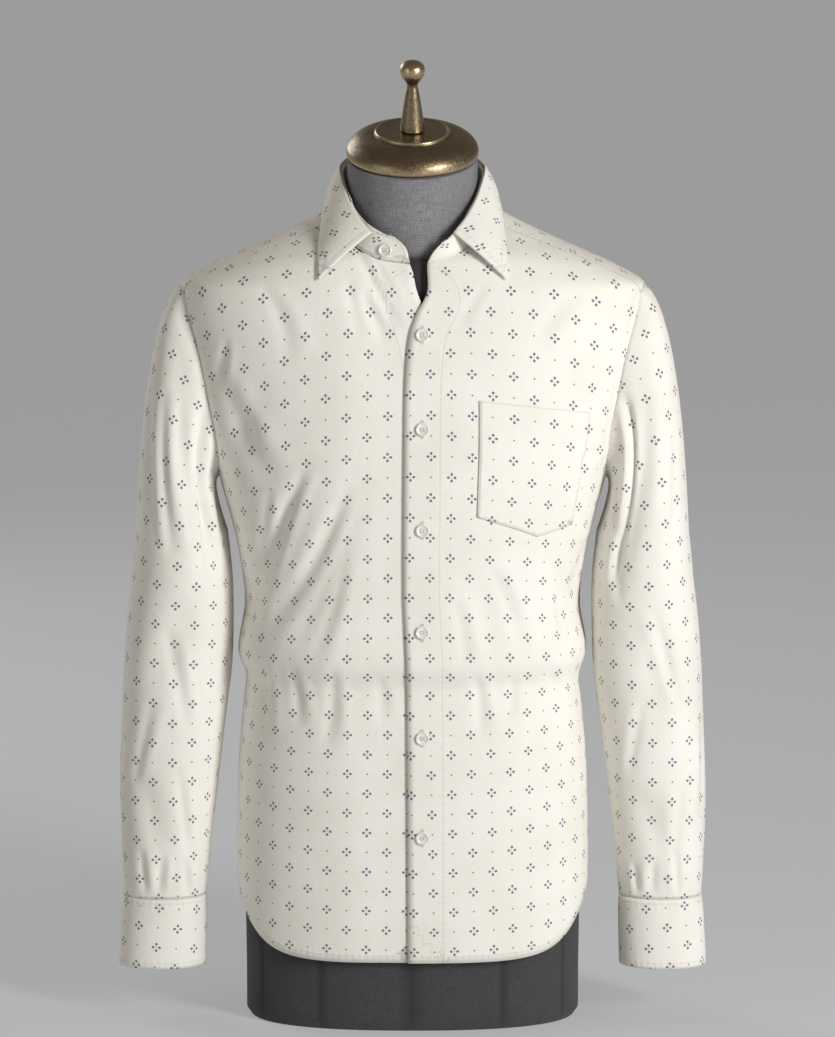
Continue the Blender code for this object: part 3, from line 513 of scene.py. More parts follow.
@dataclass
class ClothPiece:
    """One cut piece of the shirt, laid as a thin shell on the form of its solid.

    Attributes:
        node: the solid that it stands for.
        grid: its outside, rows upwards and columns to the right as seen from outside.
        right: the direction in which the print's rows run where the piece faces its view.
        up: the direction in which the print's columns run there.
        stitches: its lines of stitching.
        thick: the thickness of the cloth, or of its layers in a collar or cuff.
        rests_on: what carries it.
        origin: a point through which a motif of the print passes.
        straight: whether its cut is a straight band, bent in place, such as a collar's.
        grain_drop: how far the print's rows sink from the front edge to the side.
        guide: the grid and print of the piece under it, which its own print matches.
        printed: its print's coordinates, once it is built.
    """

    node: str
    grid: Grid
    right: Spot
    up: Spot
    stitches: tuple[Stitching, ...]
    thick: float = 0.0009
    held: str = "draped"
    rests_on: tuple[str, ...] = ("form_body",)
    origin: Spot = (0.0270, -0.12, 0.5496)
    straight: bool = False
    grain_drop: float = 0.0
    guide: tuple[Grid, Grid] | None = None
    printed: Grid | None = None
    squarely: float = 0.85  # how squarely cloth faces its view where it sets the print's grain
    reach_under: float = 0.012  # how far round it the piece under it guides the print
    drop_width: float = 0.16  # from the placket to where the print has sunk by grain_drop

    def build(self, finish: "PrintedCotton") -> bpy.types.Object:
        """Makes the piece, flattens its cut for the print and dresses it.

        Args:
            finish: the cloth that it is cut from.

        Returns:
            The finished piece.
        """
        bm, index = lay_grid(self.grid)
        mesh = written(self.node + "_cloth", bm)
        obj = linked(self.node + "_cloth", mesh)
        flat = self.band_cut() if self.straight else self.flatten(obj, index)
        self.printed = self.sunk(flat) if self.guide is None else self.matched(*self.guide)
        self.write_cut(mesh, index, self.printed)
        self.mark_stitches(mesh, index, flat)
        self.close_tube(mesh)
        mesh.shade_smooth()
        mesh.materials.append(finish.material())
        wall = obj.modifiers.new("wall", "SOLIDIFY")
        wall.thickness, wall.offset = self.thick, -1.0
        wall.use_even_offset = False
        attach(obj, "root")
        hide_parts(self.node)
        return obj

    def flatten(self, obj: bpy.types.Object, index: np.ndarray) -> Grid:
        """Unwraps the piece to its flat cut in metres, with the grain as the print needs it.

        Args:
            obj: the laid piece.
            index: row and column of each vertex.

        Returns:
            The flat cut, a grid of u and v.
        """
        mesh = obj.data
        for other in bpy.context.view_layer.objects:
            other.select_set(False)
        bpy.context.view_layer.objects.active = obj
        obj.select_set(True)
        bpy.ops.object.mode_set(mode="EDIT")
        bpy.ops.mesh.select_all(action="SELECT")
        bpy.ops.uv.unwrap(method="ANGLE_BASED", margin=0.0)
        bpy.ops.object.mode_set(mode="OBJECT")
        corner = np.zeros(len(mesh.loops) * 2)
        mesh.uv_layers.active.data.foreach_get("uv", corner)
        corner = corner.reshape(-1, 2)
        flat = np.zeros(self.grid.shape[:2] + (2,))
        flat[self.corner_places(mesh, index)] = corner
        right, up = np.array(self.right), np.array(self.up)
        facing = grid_normals(self.grid) @ np.cross(right, up) > self.squarely
        rel = self.grid - np.array(self.origin)
        goal = (rel @ right + 1j * (rel @ up))[facing]
        have = (flat[..., 0] + 1j * flat[..., 1])
        base = np.column_stack([have[facing], np.ones(facing.sum())])
        turn, shift = np.linalg.lstsq(base, goal, rcond=None)[0]
        size = math.sqrt(self.cloth_area() / self.cut_area(flat))
        turn = turn / abs(turn) * size
        shift = (goal - have[facing] * turn).mean()
        laid = have * turn + shift
        return np.stack([laid.real, laid.imag], axis=-1)

    def sunk(self, flat: Grid) -> Grid:
        """Returns the print's coordinates, its rows sinking towards the side as the grain does."""
        away = np.abs(self.grid[..., 0] - PLACKET_X) / self.drop_width
        height = smooth(self.grid[..., 2], 0.20, 0.50)
        return flat + np.stack([0 * away, self.grain_drop * away**2 * height], axis=-1)

    def matched(self, grid: Grid, printed: Grid) -> Grid:
        """Carries on the print of the piece underneath.

        Args:
            grid: the points of the piece underneath.
            printed: its print's coordinates.

        Returns:
            This piece's print coordinates.
        """
        low, high = self.grid.reshape(-1, 3).min(axis=0), self.grid.reshape(-1, 3).max(axis=0)
        near = np.all((grid > low - self.reach_under) & (grid < high + self.reach_under), axis=-1)

        def terms(points: Grid) -> Grid:
            """Returns the terms of a smooth map from x and z."""
            x, z = points[..., 0] - low[0], points[..., 2] - low[2]
            return np.stack([x**0, x, z, x * x, x * z, z * z, x**3], axis=-1)

        fit = np.linalg.lstsq(terms(grid[near]), printed[near], rcond=None)[0]
        return terms(self.grid) @ fit

    def band_cut(self) -> Grid:
        """Returns the flat cut of a straight band, measured from the middle of its upper edge."""
        across = np.linalg.norm(np.diff(self.grid, axis=1), axis=-1)
        u = np.concatenate([np.zeros((len(self.grid), 1)), np.cumsum(across, axis=1)], axis=1)
        u = u - u[:, u.shape[1] // 2][:, None]
        down = np.linalg.norm(np.diff(self.grid, axis=0), axis=-1)[::-1]
        v = -np.concatenate([np.zeros((1, u.shape[1])), np.cumsum(down, axis=0)])[::-1]
        return np.stack([u, v], axis=-1)

    def corner_places(self, mesh: bpy.types.Mesh, index: np.ndarray) -> tuple:
        """Returns the row and the column of each face corner's vertex."""
        owner = np.zeros(len(mesh.loops), dtype=int)
        mesh.loops.foreach_get("vertex_index", owner)
        return index[owner, 0], index[owner, 1]

    def write_cut(self, mesh: bpy.types.Mesh, index: np.ndarray, flat: Grid) -> None:
        """Writes the flat cut as the piece's UV map.

        Args:
            mesh: the piece's mesh.
            index: row and column of each vertex.
            flat: the flat cut.
        """
        if not mesh.uv_layers:
            mesh.uv_layers.new(name="UVMap")
        mesh.uv_layers.active.name = "UVMap"
        corner = flat[self.corner_places(mesh, index)]
        mesh.uv_layers.active.data.foreach_set("uv", corner.astype(np.float32).reshape(-1))

    def cut_area(self, flat: Grid) -> float:
        """Returns the area of the flat cut, in the units of its coordinates."""
        a, b = flat[1:, 1:] - flat[:-1, :-1], flat[1:, :-1] - flat[:-1, 1:]
        return float(np.abs(a[..., 0] * b[..., 1] - a[..., 1] * b[..., 0]).sum() / 2)

    def cloth_area(self) -> float:
        """Returns the area of the laid cloth in square metres."""
        a = self.grid[1:, 1:] - self.grid[:-1, :-1]
        b = self.grid[1:, :-1] - self.grid[:-1, 1:]
        return float(np.linalg.norm(np.cross(a, b), axis=-1).sum() / 2)

    def mark_stitches(self, mesh: bpy.types.Mesh, index: np.ndarray, flat: Grid) -> None:
        """Writes each vertex's distance from the nearest line of stitches, and along it.

        Args:
            mesh: the piece's mesh.
            index: row and column of each vertex.
            flat: the flat cut.
        """
        edges = {"low": flat[0], "high": flat[-1], "left": flat[:, 0], "right": flat[:, -1]}
        points = flat.reshape(-1, 2)
        best = np.full(len(points), 1.0)
        run = np.zeros(len(points))
        for line in self.stitches:
            edge = edges[line.edge]
            edge = edge[:max(2, round(len(edge) * line.upto))]
            near, along = distance_to_line(points, edge)
            offset = near - line.inset
            closer = np.abs(offset) < np.abs(best)
            best, run = np.where(closer, offset, best), np.where(closer, along, run)
        cols = flat.shape[1]
        order = index[:, 0] * cols + index[:, 1]
        for name, values in (("stitch_offset", best), ("stitch_run", run)):
            layer = mesh.attributes.new(name, "FLOAT", "POINT")
            layer.data.foreach_set("value", values[order].astype(np.float32))

    def close_tube(self, mesh: bpy.types.Mesh) -> None:
        """Joins the two long edges of a tube where they meet."""
        if not np.allclose(self.grid[:, 0], self.grid[:, -1], atol=1e-6):
            return
        bm = bmesh.new()
        bm.from_mesh(mesh)
        bmesh.ops.remove_doubles(bm, verts=bm.verts, dist=1e-5)
        bm.to_mesh(mesh)
        bm.free()


def distance_to_line(points: Grid, line: Grid) -> tuple[np.ndarray, np.ndarray]:
    """Measures flat points against a line of points.

    Args:
        points: the points, one a row.
        line: the line's points, one a row.

    Returns:
        Each point's distance from the line, and how far along the line it lies.
    """
    start, way = line[:-1], np.diff(line, axis=0)
    length = np.maximum(np.linalg.norm(way, axis=1), 1e-9)
    begun = np.concatenate([[0], np.cumsum(length)[:-1]])
    best = np.full(len(points), 9.0)
    along = np.zeros(len(points))
    for a, d, size, before in zip(start, way, length, begun):
        reach = ((points - a) @ d) / size**2
        share = np.clip(reach, 0, 1)
        gap = np.linalg.norm(points - a - share[:, None] * d, axis=1)
        past = (before > length.sum() - size * 1.5) & (reach > 1.5)
        gap = np.where(past, 9.0, gap)
        closer = gap < best
        best, along = np.where(closer, gap, best), np.where(closer, before + share * size, along)
    return best, along


@dataclass
class Shirt:
    """The shirt: its cut pieces, with the creases that hanging and tucking have left."""

    pattern: Pattern = field(default_factory=Pattern)
    tube: Tube = field(default_factory=Tube)
    lap_drop: float = 0.0026
    yoke_lift: float = 0.00015
    pocket_lift: float = 0.0012
    cuff_low: float = 0.0520
    cuff_seam: float = 0.1226
    unevenness: float = 0.0006
    body_radius: float = 0.17  # turns angles round the body into lengths
    body_reach: float = 0.21  # the size of the quiet unevenness
    band_half: float = 0.012  # half of the buttoned band, which keeps flat
    neck_starts: tuple[float, float] = (0.0025, 0.0145)  # x of the neckline's ends
    fine: int = 8
    front_creases: Rows = (  # x from, z from, x to, z to, bow, half width, depth
        (-0.182, 0.690, -0.198, 0.636, 0.002, 0.0050, 0.0016),
        (-0.186, 0.652, -0.136, 0.545, -0.006, 0.0095, 0.0030),
        (-0.104, 0.566, -0.170, 0.405, -0.003, 0.0066, 0.0058),
        (-0.062, 0.548, -0.150, 0.392, 0.005, 0.0066, 0.0038),
        (-0.064, 0.480, -0.104, 0.366, 0.004, 0.0060, 0.0018),
        (-0.140, 0.545, -0.168, 0.440, 0.004, 0.0048, 0.0022),
        (-0.0560, 0.7850, -0.0110, 0.6960, -0.0015, 0.0034, 0.0034),
        (-0.0400, 0.7760, -0.0060, 0.7060, -0.0010, 0.0026, 0.0024),
        (-0.0500, 0.7420, -0.0240, 0.6850, -0.0020, 0.0046, 0.0022),
        (-0.0620, 0.7500, -0.0480, 0.6900, -0.0030, 0.0050, 0.0016),
        (-0.150, 0.745, -0.120, 0.665, 0.008, 0.0070, 0.0016),
        (0.190, 0.585, 0.150, 0.545, -0.004, 0.0045, 0.0022),
        (0.178, 0.490, 0.160, 0.400, -0.006, 0.0055, 0.0030),
        (0.135, 0.480, 0.148, 0.372, 0.006, 0.0060, 0.0022),
        (0.075, 0.470, 0.108, 0.368, 0.006, 0.0065, 0.0020),
        (0.040, 0.440, 0.052, 0.366, 0.003, 0.0060, 0.0016),
        (0.165, 0.735, 0.120, 0.680, -0.007, 0.0070, 0.0014),
        (0.075, 0.745, 0.045, 0.700, -0.004, 0.0050, 0.0010),
        (-0.150, 0.372, -0.152, 0.292, 0.003, 0.0060, 0.0026),
        (-0.118, 0.365, -0.112, 0.305, 0.002, 0.0050, 0.0020),
        (-0.078, 0.370, -0.086, 0.285, 0.003, 0.0060, 0.0022),
        (-0.034, 0.362, -0.030, 0.312, 0.002, 0.0050, 0.0014),
        (0.060, 0.366, 0.066, 0.296, 0.003, 0.0055, 0.0020),
        (0.098, 0.362, 0.092, 0.310, 0.002, 0.0050, 0.0016),
        (0.136, 0.370, 0.142, 0.286, 0.003, 0.0060, 0.0026))
    back_creases: Rows = (
        (-0.170, 0.600, -0.120, 0.520, 0.006, 0.0060, 0.0028),
        (0.172, 0.610, 0.125, 0.515, -0.006, 0.0060, 0.0028),
        (-0.060, 0.560, -0.082, 0.380, 0.008, 0.0070, 0.0026),
        (0.052, 0.570, 0.078, 0.375, -0.008, 0.0070, 0.0026),
        (-0.125, 0.470, -0.140, 0.372, 0.004, 0.0055, 0.0024),
        (0.130, 0.460, 0.142, 0.368, -0.004, 0.0055, 0.0024),
        (0.005, 0.480, 0.012, 0.365, 0.005, 0.0065, 0.0018),
        (-0.140, 0.372, -0.146, 0.290, 0.003, 0.0060, 0.0024),
        (-0.092, 0.366, -0.086, 0.302, 0.002, 0.0055, 0.0020),
        (-0.040, 0.370, -0.046, 0.290, 0.003, 0.0060, 0.0022),
        (0.030, 0.364, 0.026, 0.308, 0.002, 0.0050, 0.0018),
        (0.084, 0.370, 0.090, 0.288, 0.003, 0.0060, 0.0022),
        (0.138, 0.366, 0.134, 0.300, 0.002, 0.0055, 0.0020))
    sleeve_folds: dict[Side, Rows] = field(default_factory=lambda: {
        Side.WEARER_RIGHT: (  # angle from, z from, angle to, z to, half width, depth
            (52, 0.700, 118, 0.500, 17, 0.0055), (100, 0.430, 70, 0.330, 18, 0.0035),
            (60, 0.260, 95, 0.150, 16, 0.0030), (250, 0.660, 225, 0.440, 20, 0.0050),
            (300, 0.330, 280, 0.200, 18, 0.0035)),
        Side.WEARER_LEFT: (
            (62, 0.690, 128, 0.420, 15, 0.0055), (75, 0.400, 95, 0.290, 17, 0.0032),
            (110, 0.240, 80, 0.150, 16, 0.0030), (255, 0.650, 230, 0.430, 20, 0.0050),
            (290, 0.340, 300, 0.200, 18, 0.0035))})
    sleeve_creases: dict[Side, Rows] = field(default_factory=lambda: {
        Side.WEARER_RIGHT: (  # angle from, z from, angle to, z to, half width, depth
            (98, 0.705, 136, 0.450, 7, 0.0056), (52, 0.640, 84, 0.470, 8, 0.0034),
            (30, 0.640, 60, 0.480, 7, 0.0020),
            (140, 0.560, 110, 0.440, 7, 0.0026), (80, 0.400, 105, 0.300, 6, 0.0020),
            (70, 0.330, 50, 0.240, 7, 0.0018), (100, 0.260, 120, 0.170, 6, 0.0018),
            (60, 0.175, 66, 0.125, 6, 0.0022), (88, 0.170, 84, 0.125, 5, 0.0024),
            (118, 0.165, 122, 0.125, 6, 0.0022), (20, 0.300, 5, 0.190, 8, 0.0018),
            (240, 0.560, 215, 0.420, 7, 0.0024), (280, 0.420, 260, 0.300, 7, 0.0020),
            (300, 0.180, 305, 0.125, 6, 0.0024), (262, 0.172, 258, 0.125, 6, 0.0022)),
        Side.WEARER_LEFT: (
            (86, 0.705, 130, 0.440, 4.5, 0.0060), (140, 0.560, 118, 0.420, 6, 0.0024),
            (40, 0.600, 62, 0.450, 7, 0.0016), (84, 0.420, 60, 0.320, 6, 0.0020),
            (98, 0.330, 122, 0.250, 6, 0.0018), (62, 0.250, 74, 0.165, 7, 0.0018),
            (72, 0.172, 68, 0.125, 5, 0.0022), (98, 0.168, 102, 0.125, 6, 0.0024),
            (126, 0.160, 124, 0.125, 5, 0.0020), (15, 0.310, 28, 0.200, 8, 0.0018),
            (235, 0.570, 212, 0.430, 7, 0.0024), (285, 0.400, 262, 0.290, 7, 0.0020),
            (296, 0.180, 300, 0.125, 6, 0.0024), (258, 0.170, 262, 0.125, 6, 0.0022))})
    stand_top: Rows = (  # x, y, z from the front to the back centre
        (0.0375, -0.0770, 0.7915), (0.0520, -0.0640, 0.8080), (0.0630, -0.0430, 0.8280),
        (0.0698, -0.0110, 0.8490), (0.0640, 0.0220, 0.8560), (0.0450, 0.0460, 0.8605),
        (0.0000, 0.0560, 0.8620))
    stand_end_left: Rows = (
        (-0.0025, -0.0868, 0.7642), (-0.0055, -0.0876, 0.7760), (-0.0165, -0.0852, 0.7870),
        (-0.0325, -0.0795, 0.7905))
    stand_end_right: Rows = (
        (0.0145, -0.0868, 0.7642), (0.0205, -0.0870, 0.7740), (0.0310, -0.0840, 0.7840),
        (0.0455, -0.0745, 0.7905))
    leaf_fold: Rows = (  # x, y, z of the outer fold, front to back centre
        (0.0400, -0.0815, 0.7935), (0.0545, -0.0665, 0.8110), (0.0655, -0.0440, 0.8310),
        (0.0722, -0.0110, 0.8525), (0.0665, 0.0240, 0.8595), (0.0470, 0.0490, 0.8640),
        (0.0000, 0.0592, 0.8655))
    leaf_edge: Rows = (  # x, y, z of the free edge, collar point to back centre
        (0.0920, -0.0930, 0.7480), (0.0925, -0.0820, 0.7650), (0.0912, -0.0530, 0.7900),
        (0.0890, -0.0270, 0.8080), (0.0870, 0.0040, 0.8190), (0.0800, 0.0380, 0.8260),
        (0.0540, 0.0680, 0.8290), (0.0000, 0.0800, 0.8290))
    leaf_bulge: float = 0.0022
    pocket_top: Rows = ((0.0650, 0.6314), (0.1240, 0.6240), (0.1745, 0.6166))
    pocket_low: Rows = ((0.0630, 0.5180), (0.1220, 0.4966), (0.1560, 0.5060))

    def build(self, finish: "PrintedCotton") -> None:
        """Builds every cut piece from one cloth."""
        top_front = self.front(Side.WEARER_LEFT)
        for piece in (self.front(Side.WEARER_RIGHT), top_front, self.back(), self.yoke(),
                      self.stand(), self.leaf()):
            piece.build(finish)
        pocket = self.pocket()
        pocket.guide = (top_front.grid, top_front.printed)
        pocket.build(finish)
        for side in Side:
            self.sleeve(side).build(finish)
            self.cuff(side).build(finish)

    def creased(self, places: Grid, lift: np.ndarray | float, quiet: float = 1.0) -> Grid:
        """Lays places of the skin in space with all their folds.

        Args:
            places: a grid of (angle, z).
            lift: how far the cloth lies off the skin.
            quiet: the share of the fine creases to keep.

        Returns:
            The grid of points.
        """
        skin = self.pattern.skin
        angle, z = places[..., 0], places[..., 1]
        point, normal = skin.bare(angle, z), skin.normal(angle, z)
        front = np.cos(np.radians(angle)) > 0
        x = point[..., 0]
        depth = np.where(front, crease(x, z, self.front_creases),
                         crease(x, z, self.back_creases))
        round_at = np.radians(angle) * self.body_radius
        calm = smooth(z, 0.800, 0.700) * 0.75 + 0.25  # flatter over the shoulders
        depth = depth + self.unevenness * calm * ripple(round_at, z, self.body_reach, 0.7)
        creased_from = self.band_half + (0.022 if quiet < 1 else 0.010)
        depth = depth * quiet * smooth(np.abs(x - PLACKET_X), self.band_half, creased_from)
        from_side_seam = np.abs(np.cos(np.radians(angle)))
        depth = depth * smooth(from_side_seam, 0.02, 0.30)
        depth = depth + skin.large_folds(angle, point)
        return point + normal * (np.asarray(lift) - depth)[..., None]

    def front(self, side: Side) -> ClothPiece:
        """Returns one front; the wearer's left one laps on top."""
        places = self.pattern.front(side, self.fine)
        lift: np.ndarray | float = 0.0
        if side is Side.WEARER_RIGHT:
            x = self.pattern.skin.bare(places[..., 0], places[..., 1])[..., 0]
            lift = -self.lap_drop * smooth(x, -0.075, -0.020)
            name, edge, hole = "front_right", "right", "left"
        else:
            name, edge, hole = "front_left", "left", "right"
        lines = (Stitching(edge, 0.0345, 0.80), Stitching(hole, 0.0105), Stitching("low", 0.0060))
        return ClothPiece(name, self.creased(places, lift), RIGHT, UP, lines,
                          grain_drop=0.013)

    def back(self) -> ClothPiece:
        """Returns the back, under the yoke."""
        lines = stitched(low=0.0060, left=0.0105, right=0.0105)
        grid = self.creased(self.pattern.back(self.fine), 0.0)
        return ClothPiece("back", grid, BACKWARDS, UP, lines, origin=(0.0, 0.12, 0.5375))

    def yoke(self) -> ClothPiece:
        """Returns the yoke over the shoulders."""
        lines = stitched(low=0.0020, left=0.0020, right=0.0020)
        grid = self.creased(self.pattern.yoke(self.fine), self.yoke_lift, quiet=0.5)
        return ClothPiece("yoke", grid, BACKWARDS, UP, lines, origin=(0.0, 0.12, 0.712))

    def pocket(self) -> ClothPiece:
        """Returns the pointed chest pocket."""
        skin = self.pattern.skin
        steps = np.concatenate([np.linspace(0, 0.5, 21), np.linspace(0.5, 1, 21)[1:]])
        low = [(skin.angle_at(x, z), z) for x, z in self.pocket_low]
        high = [(skin.angle_at(x, z), z) for x, z in self.pocket_top]
        low = self.pointed(low, steps, 0.60)
        high = self.pointed(high, steps, 0.55)
        rows = np.linspace(0, 1, 44)[:, None]
        left, right = low[0] + (high[0] - low[0]) * rows, low[-1] + (high[-1] - low[-1]) * rows
        grid = self.creased(coons(low, high, left, right), self.pocket_lift, quiet=0.8)
        lines = stitched(low=0.0018, left=0.0018, right=0.0018)
        return ClothPiece("chest_pocket", grid, RIGHT, UP, lines, thick=0.0008,
                          held="laid", rests_on=("front_left_cloth",))

    def pointed(self, points: Rows, steps: np.ndarray, middle: float) -> Grid:
        """Returns points at steps along two straight runs that meet at a corner."""
        rows = np.array(points, dtype=float)
        return np.column_stack([np.interp(steps, (0, middle, 1), rows[:, i]) for i in (0, 1)])

    def both_sides(self, rows: Rows) -> Grid:
        """Returns a front-to-back table run from the image left round the back to the right."""
        line = np.array(rows, dtype=float)
        return np.vstack([line * np.array([-1, 1, 1]), line[-2::-1]])

    def stand(self) -> ClothPiece:
        """Returns the band that the collar stands on."""
        left = self.pattern.neckline(self.neck_starts[0], -1)
        right = self.pattern.neckline(self.neck_starts[1], 1)
        low = resample(np.vstack([left, right[-2::-1]]), 161)
        ends = [np.array(self.stand_end_left), np.array(self.stand_end_right)]
        ends[0][0], ends[1][0] = low[0], low[-1]
        top = self.both_sides(self.stand_top)
        top[0], top[-1] = ends[0][-1], ends[1][-1]
        grid = coons(low, resample(top, 161), resample(ends[0], 15), resample(ends[1], 15))
        lines = stitched(low=0.0020, left=0.0020, right=0.0020)
        return ClothPiece("collar_stand", grid[:, ::-1], BACKWARDS, UP, lines,
                          thick=0.0014, rests_on=("yoke_cloth", "front_left_cloth"),
                          straight=True)

    def leaf(self) -> ClothPiece:
        """Returns the turned-down collar with its two points."""
        low = resample(self.both_sides(self.leaf_edge), 171)
        high = resample(self.both_sides(self.leaf_fold), 171)
        share = np.linspace(0, 1, 25)[:, None]
        ends = [a + (b - a) * share for a, b in ((low[0], high[0]), (low[-1], high[-1]))]
        grid = coons(low, high, *ends)
        bulge = np.sin(np.pi * share[:, None]) * self.leaf_bulge
        grid = grid - grid_normals(grid) * bulge
        lines = stitched(low=0.0055, left=0.0055, right=0.0055)
        return ClothPiece("collar_leaf", grid[:, ::-1], BACKWARDS, UP, lines,
                          thick=0.0014, rests_on=("collar_stand_cloth",),
                          straight=True)

    def sleeve(self, side: Side) -> ClothPiece:
        """Returns one sleeve, a tube seamed under the arm."""
        grid, turns = self.tube.sleeve_grid(self.pattern, self.fine)
        ring = np.broadcast_to(np.degrees(turns) % 360, grid.shape[:2])
        z = grid[..., 2]
        wide = np.concatenate([grid, grid[:, :1]], axis=1)
        normal = -grid_normals(wide)[:, :-1]
        depth = self.tube_folds(ring, z, self.sleeve_folds[side], 1.0)
        depth = depth + self.tube_folds(ring, z, self.sleeve_creases[side], 0.6)
        reach = 0.12 + 0.01 * side.value
        depth = depth + self.unevenness * ripple(np.radians(ring) * 0.055, z, reach, 1.9)
        near_hole = np.linspace(1, 0, len(grid))[:, None]
        calm = smooth(near_hole, 0.0, 0.10) * smooth(near_hole, 1.0, 0.975)
        grid = grid - normal * (depth * calm)[..., None]
        under = int(np.argmin(np.abs(ring[0] - 180)))
        grid = np.roll(grid, -under, axis=1)
        grid = self.on_side(np.concatenate([grid, grid[:, :1]], axis=1), side)
        lines = stitched(high=0.0015, low=0.0012)
        return ClothPiece("sleeve_" + side.word, grid, (0, side.value, 0), UP, lines,
                          held="hung", rests_on=("yoke_cloth",),
                          origin=(side.value * 0.25, 0.0, 0.5375))

    def on_side(self, grid: Grid, side: Side) -> Grid:
        """Returns a tube's grid, laid out at +x, on a side and with its columns to the right."""
        grid = grid * np.array([side.value, 1, 1])
        return grid[:, ::-1] if side is Side.WEARER_LEFT else grid

    def tube_folds(self, ring: np.ndarray, z: np.ndarray, rows: Rows, tail: float) -> np.ndarray:
        """Depth of folds that run down a sleeve.

        Args:
            ring: angle of each point, 0 outside and 90 in front.
            z: height of each point.
            rows: angle from, z from, angle to, z to, half width in degrees, depth.
            tail: how full the fold still is at its ends.

        Returns:
            The depth at each point.
        """
        total = np.zeros(ring.shape)
        for a0, z0, a1, z1, width, depth in rows:
            share = np.clip((z0 - z) / (z0 - z1), -0.2, 1.2)
            centre = a0 + (a1 - a0) * share
            away = (ring - centre + 180) % 360 - 180
            fade = np.sin(np.pi * np.clip(share, 0, 1))**tail
            shape = np.exp(-(away / width)**2)
            if width < 12:
                shape = shape - 0.5 * np.exp(-((away - 2.0 * width) / width)**2)
            total = total + depth * fade * shape
        return total

    def cuff(self, side: Side) -> ClothPiece:
        """Returns one buttoned cuff."""
        turns = np.linspace(np.pi, 3 * np.pi, 97)
        grid = np.array([self.tube.ring(self.tube.cuff, z, turns)
                         for z in np.linspace(self.cuff_low, self.cuff_seam, 20)])
        grid = self.on_side(grid, side)
        lines = stitched(low=0.0050, high=0.0050)
        return ClothPiece("cuff_" + side.word, grid, (0, side.value, 0), UP, lines,
                          thick=0.0020, held="hung", rests_on=(f"sleeve_{side.word}_cloth",),
                          origin=(side.value * 0.29, 0.0, 0.0870))


# Finishes


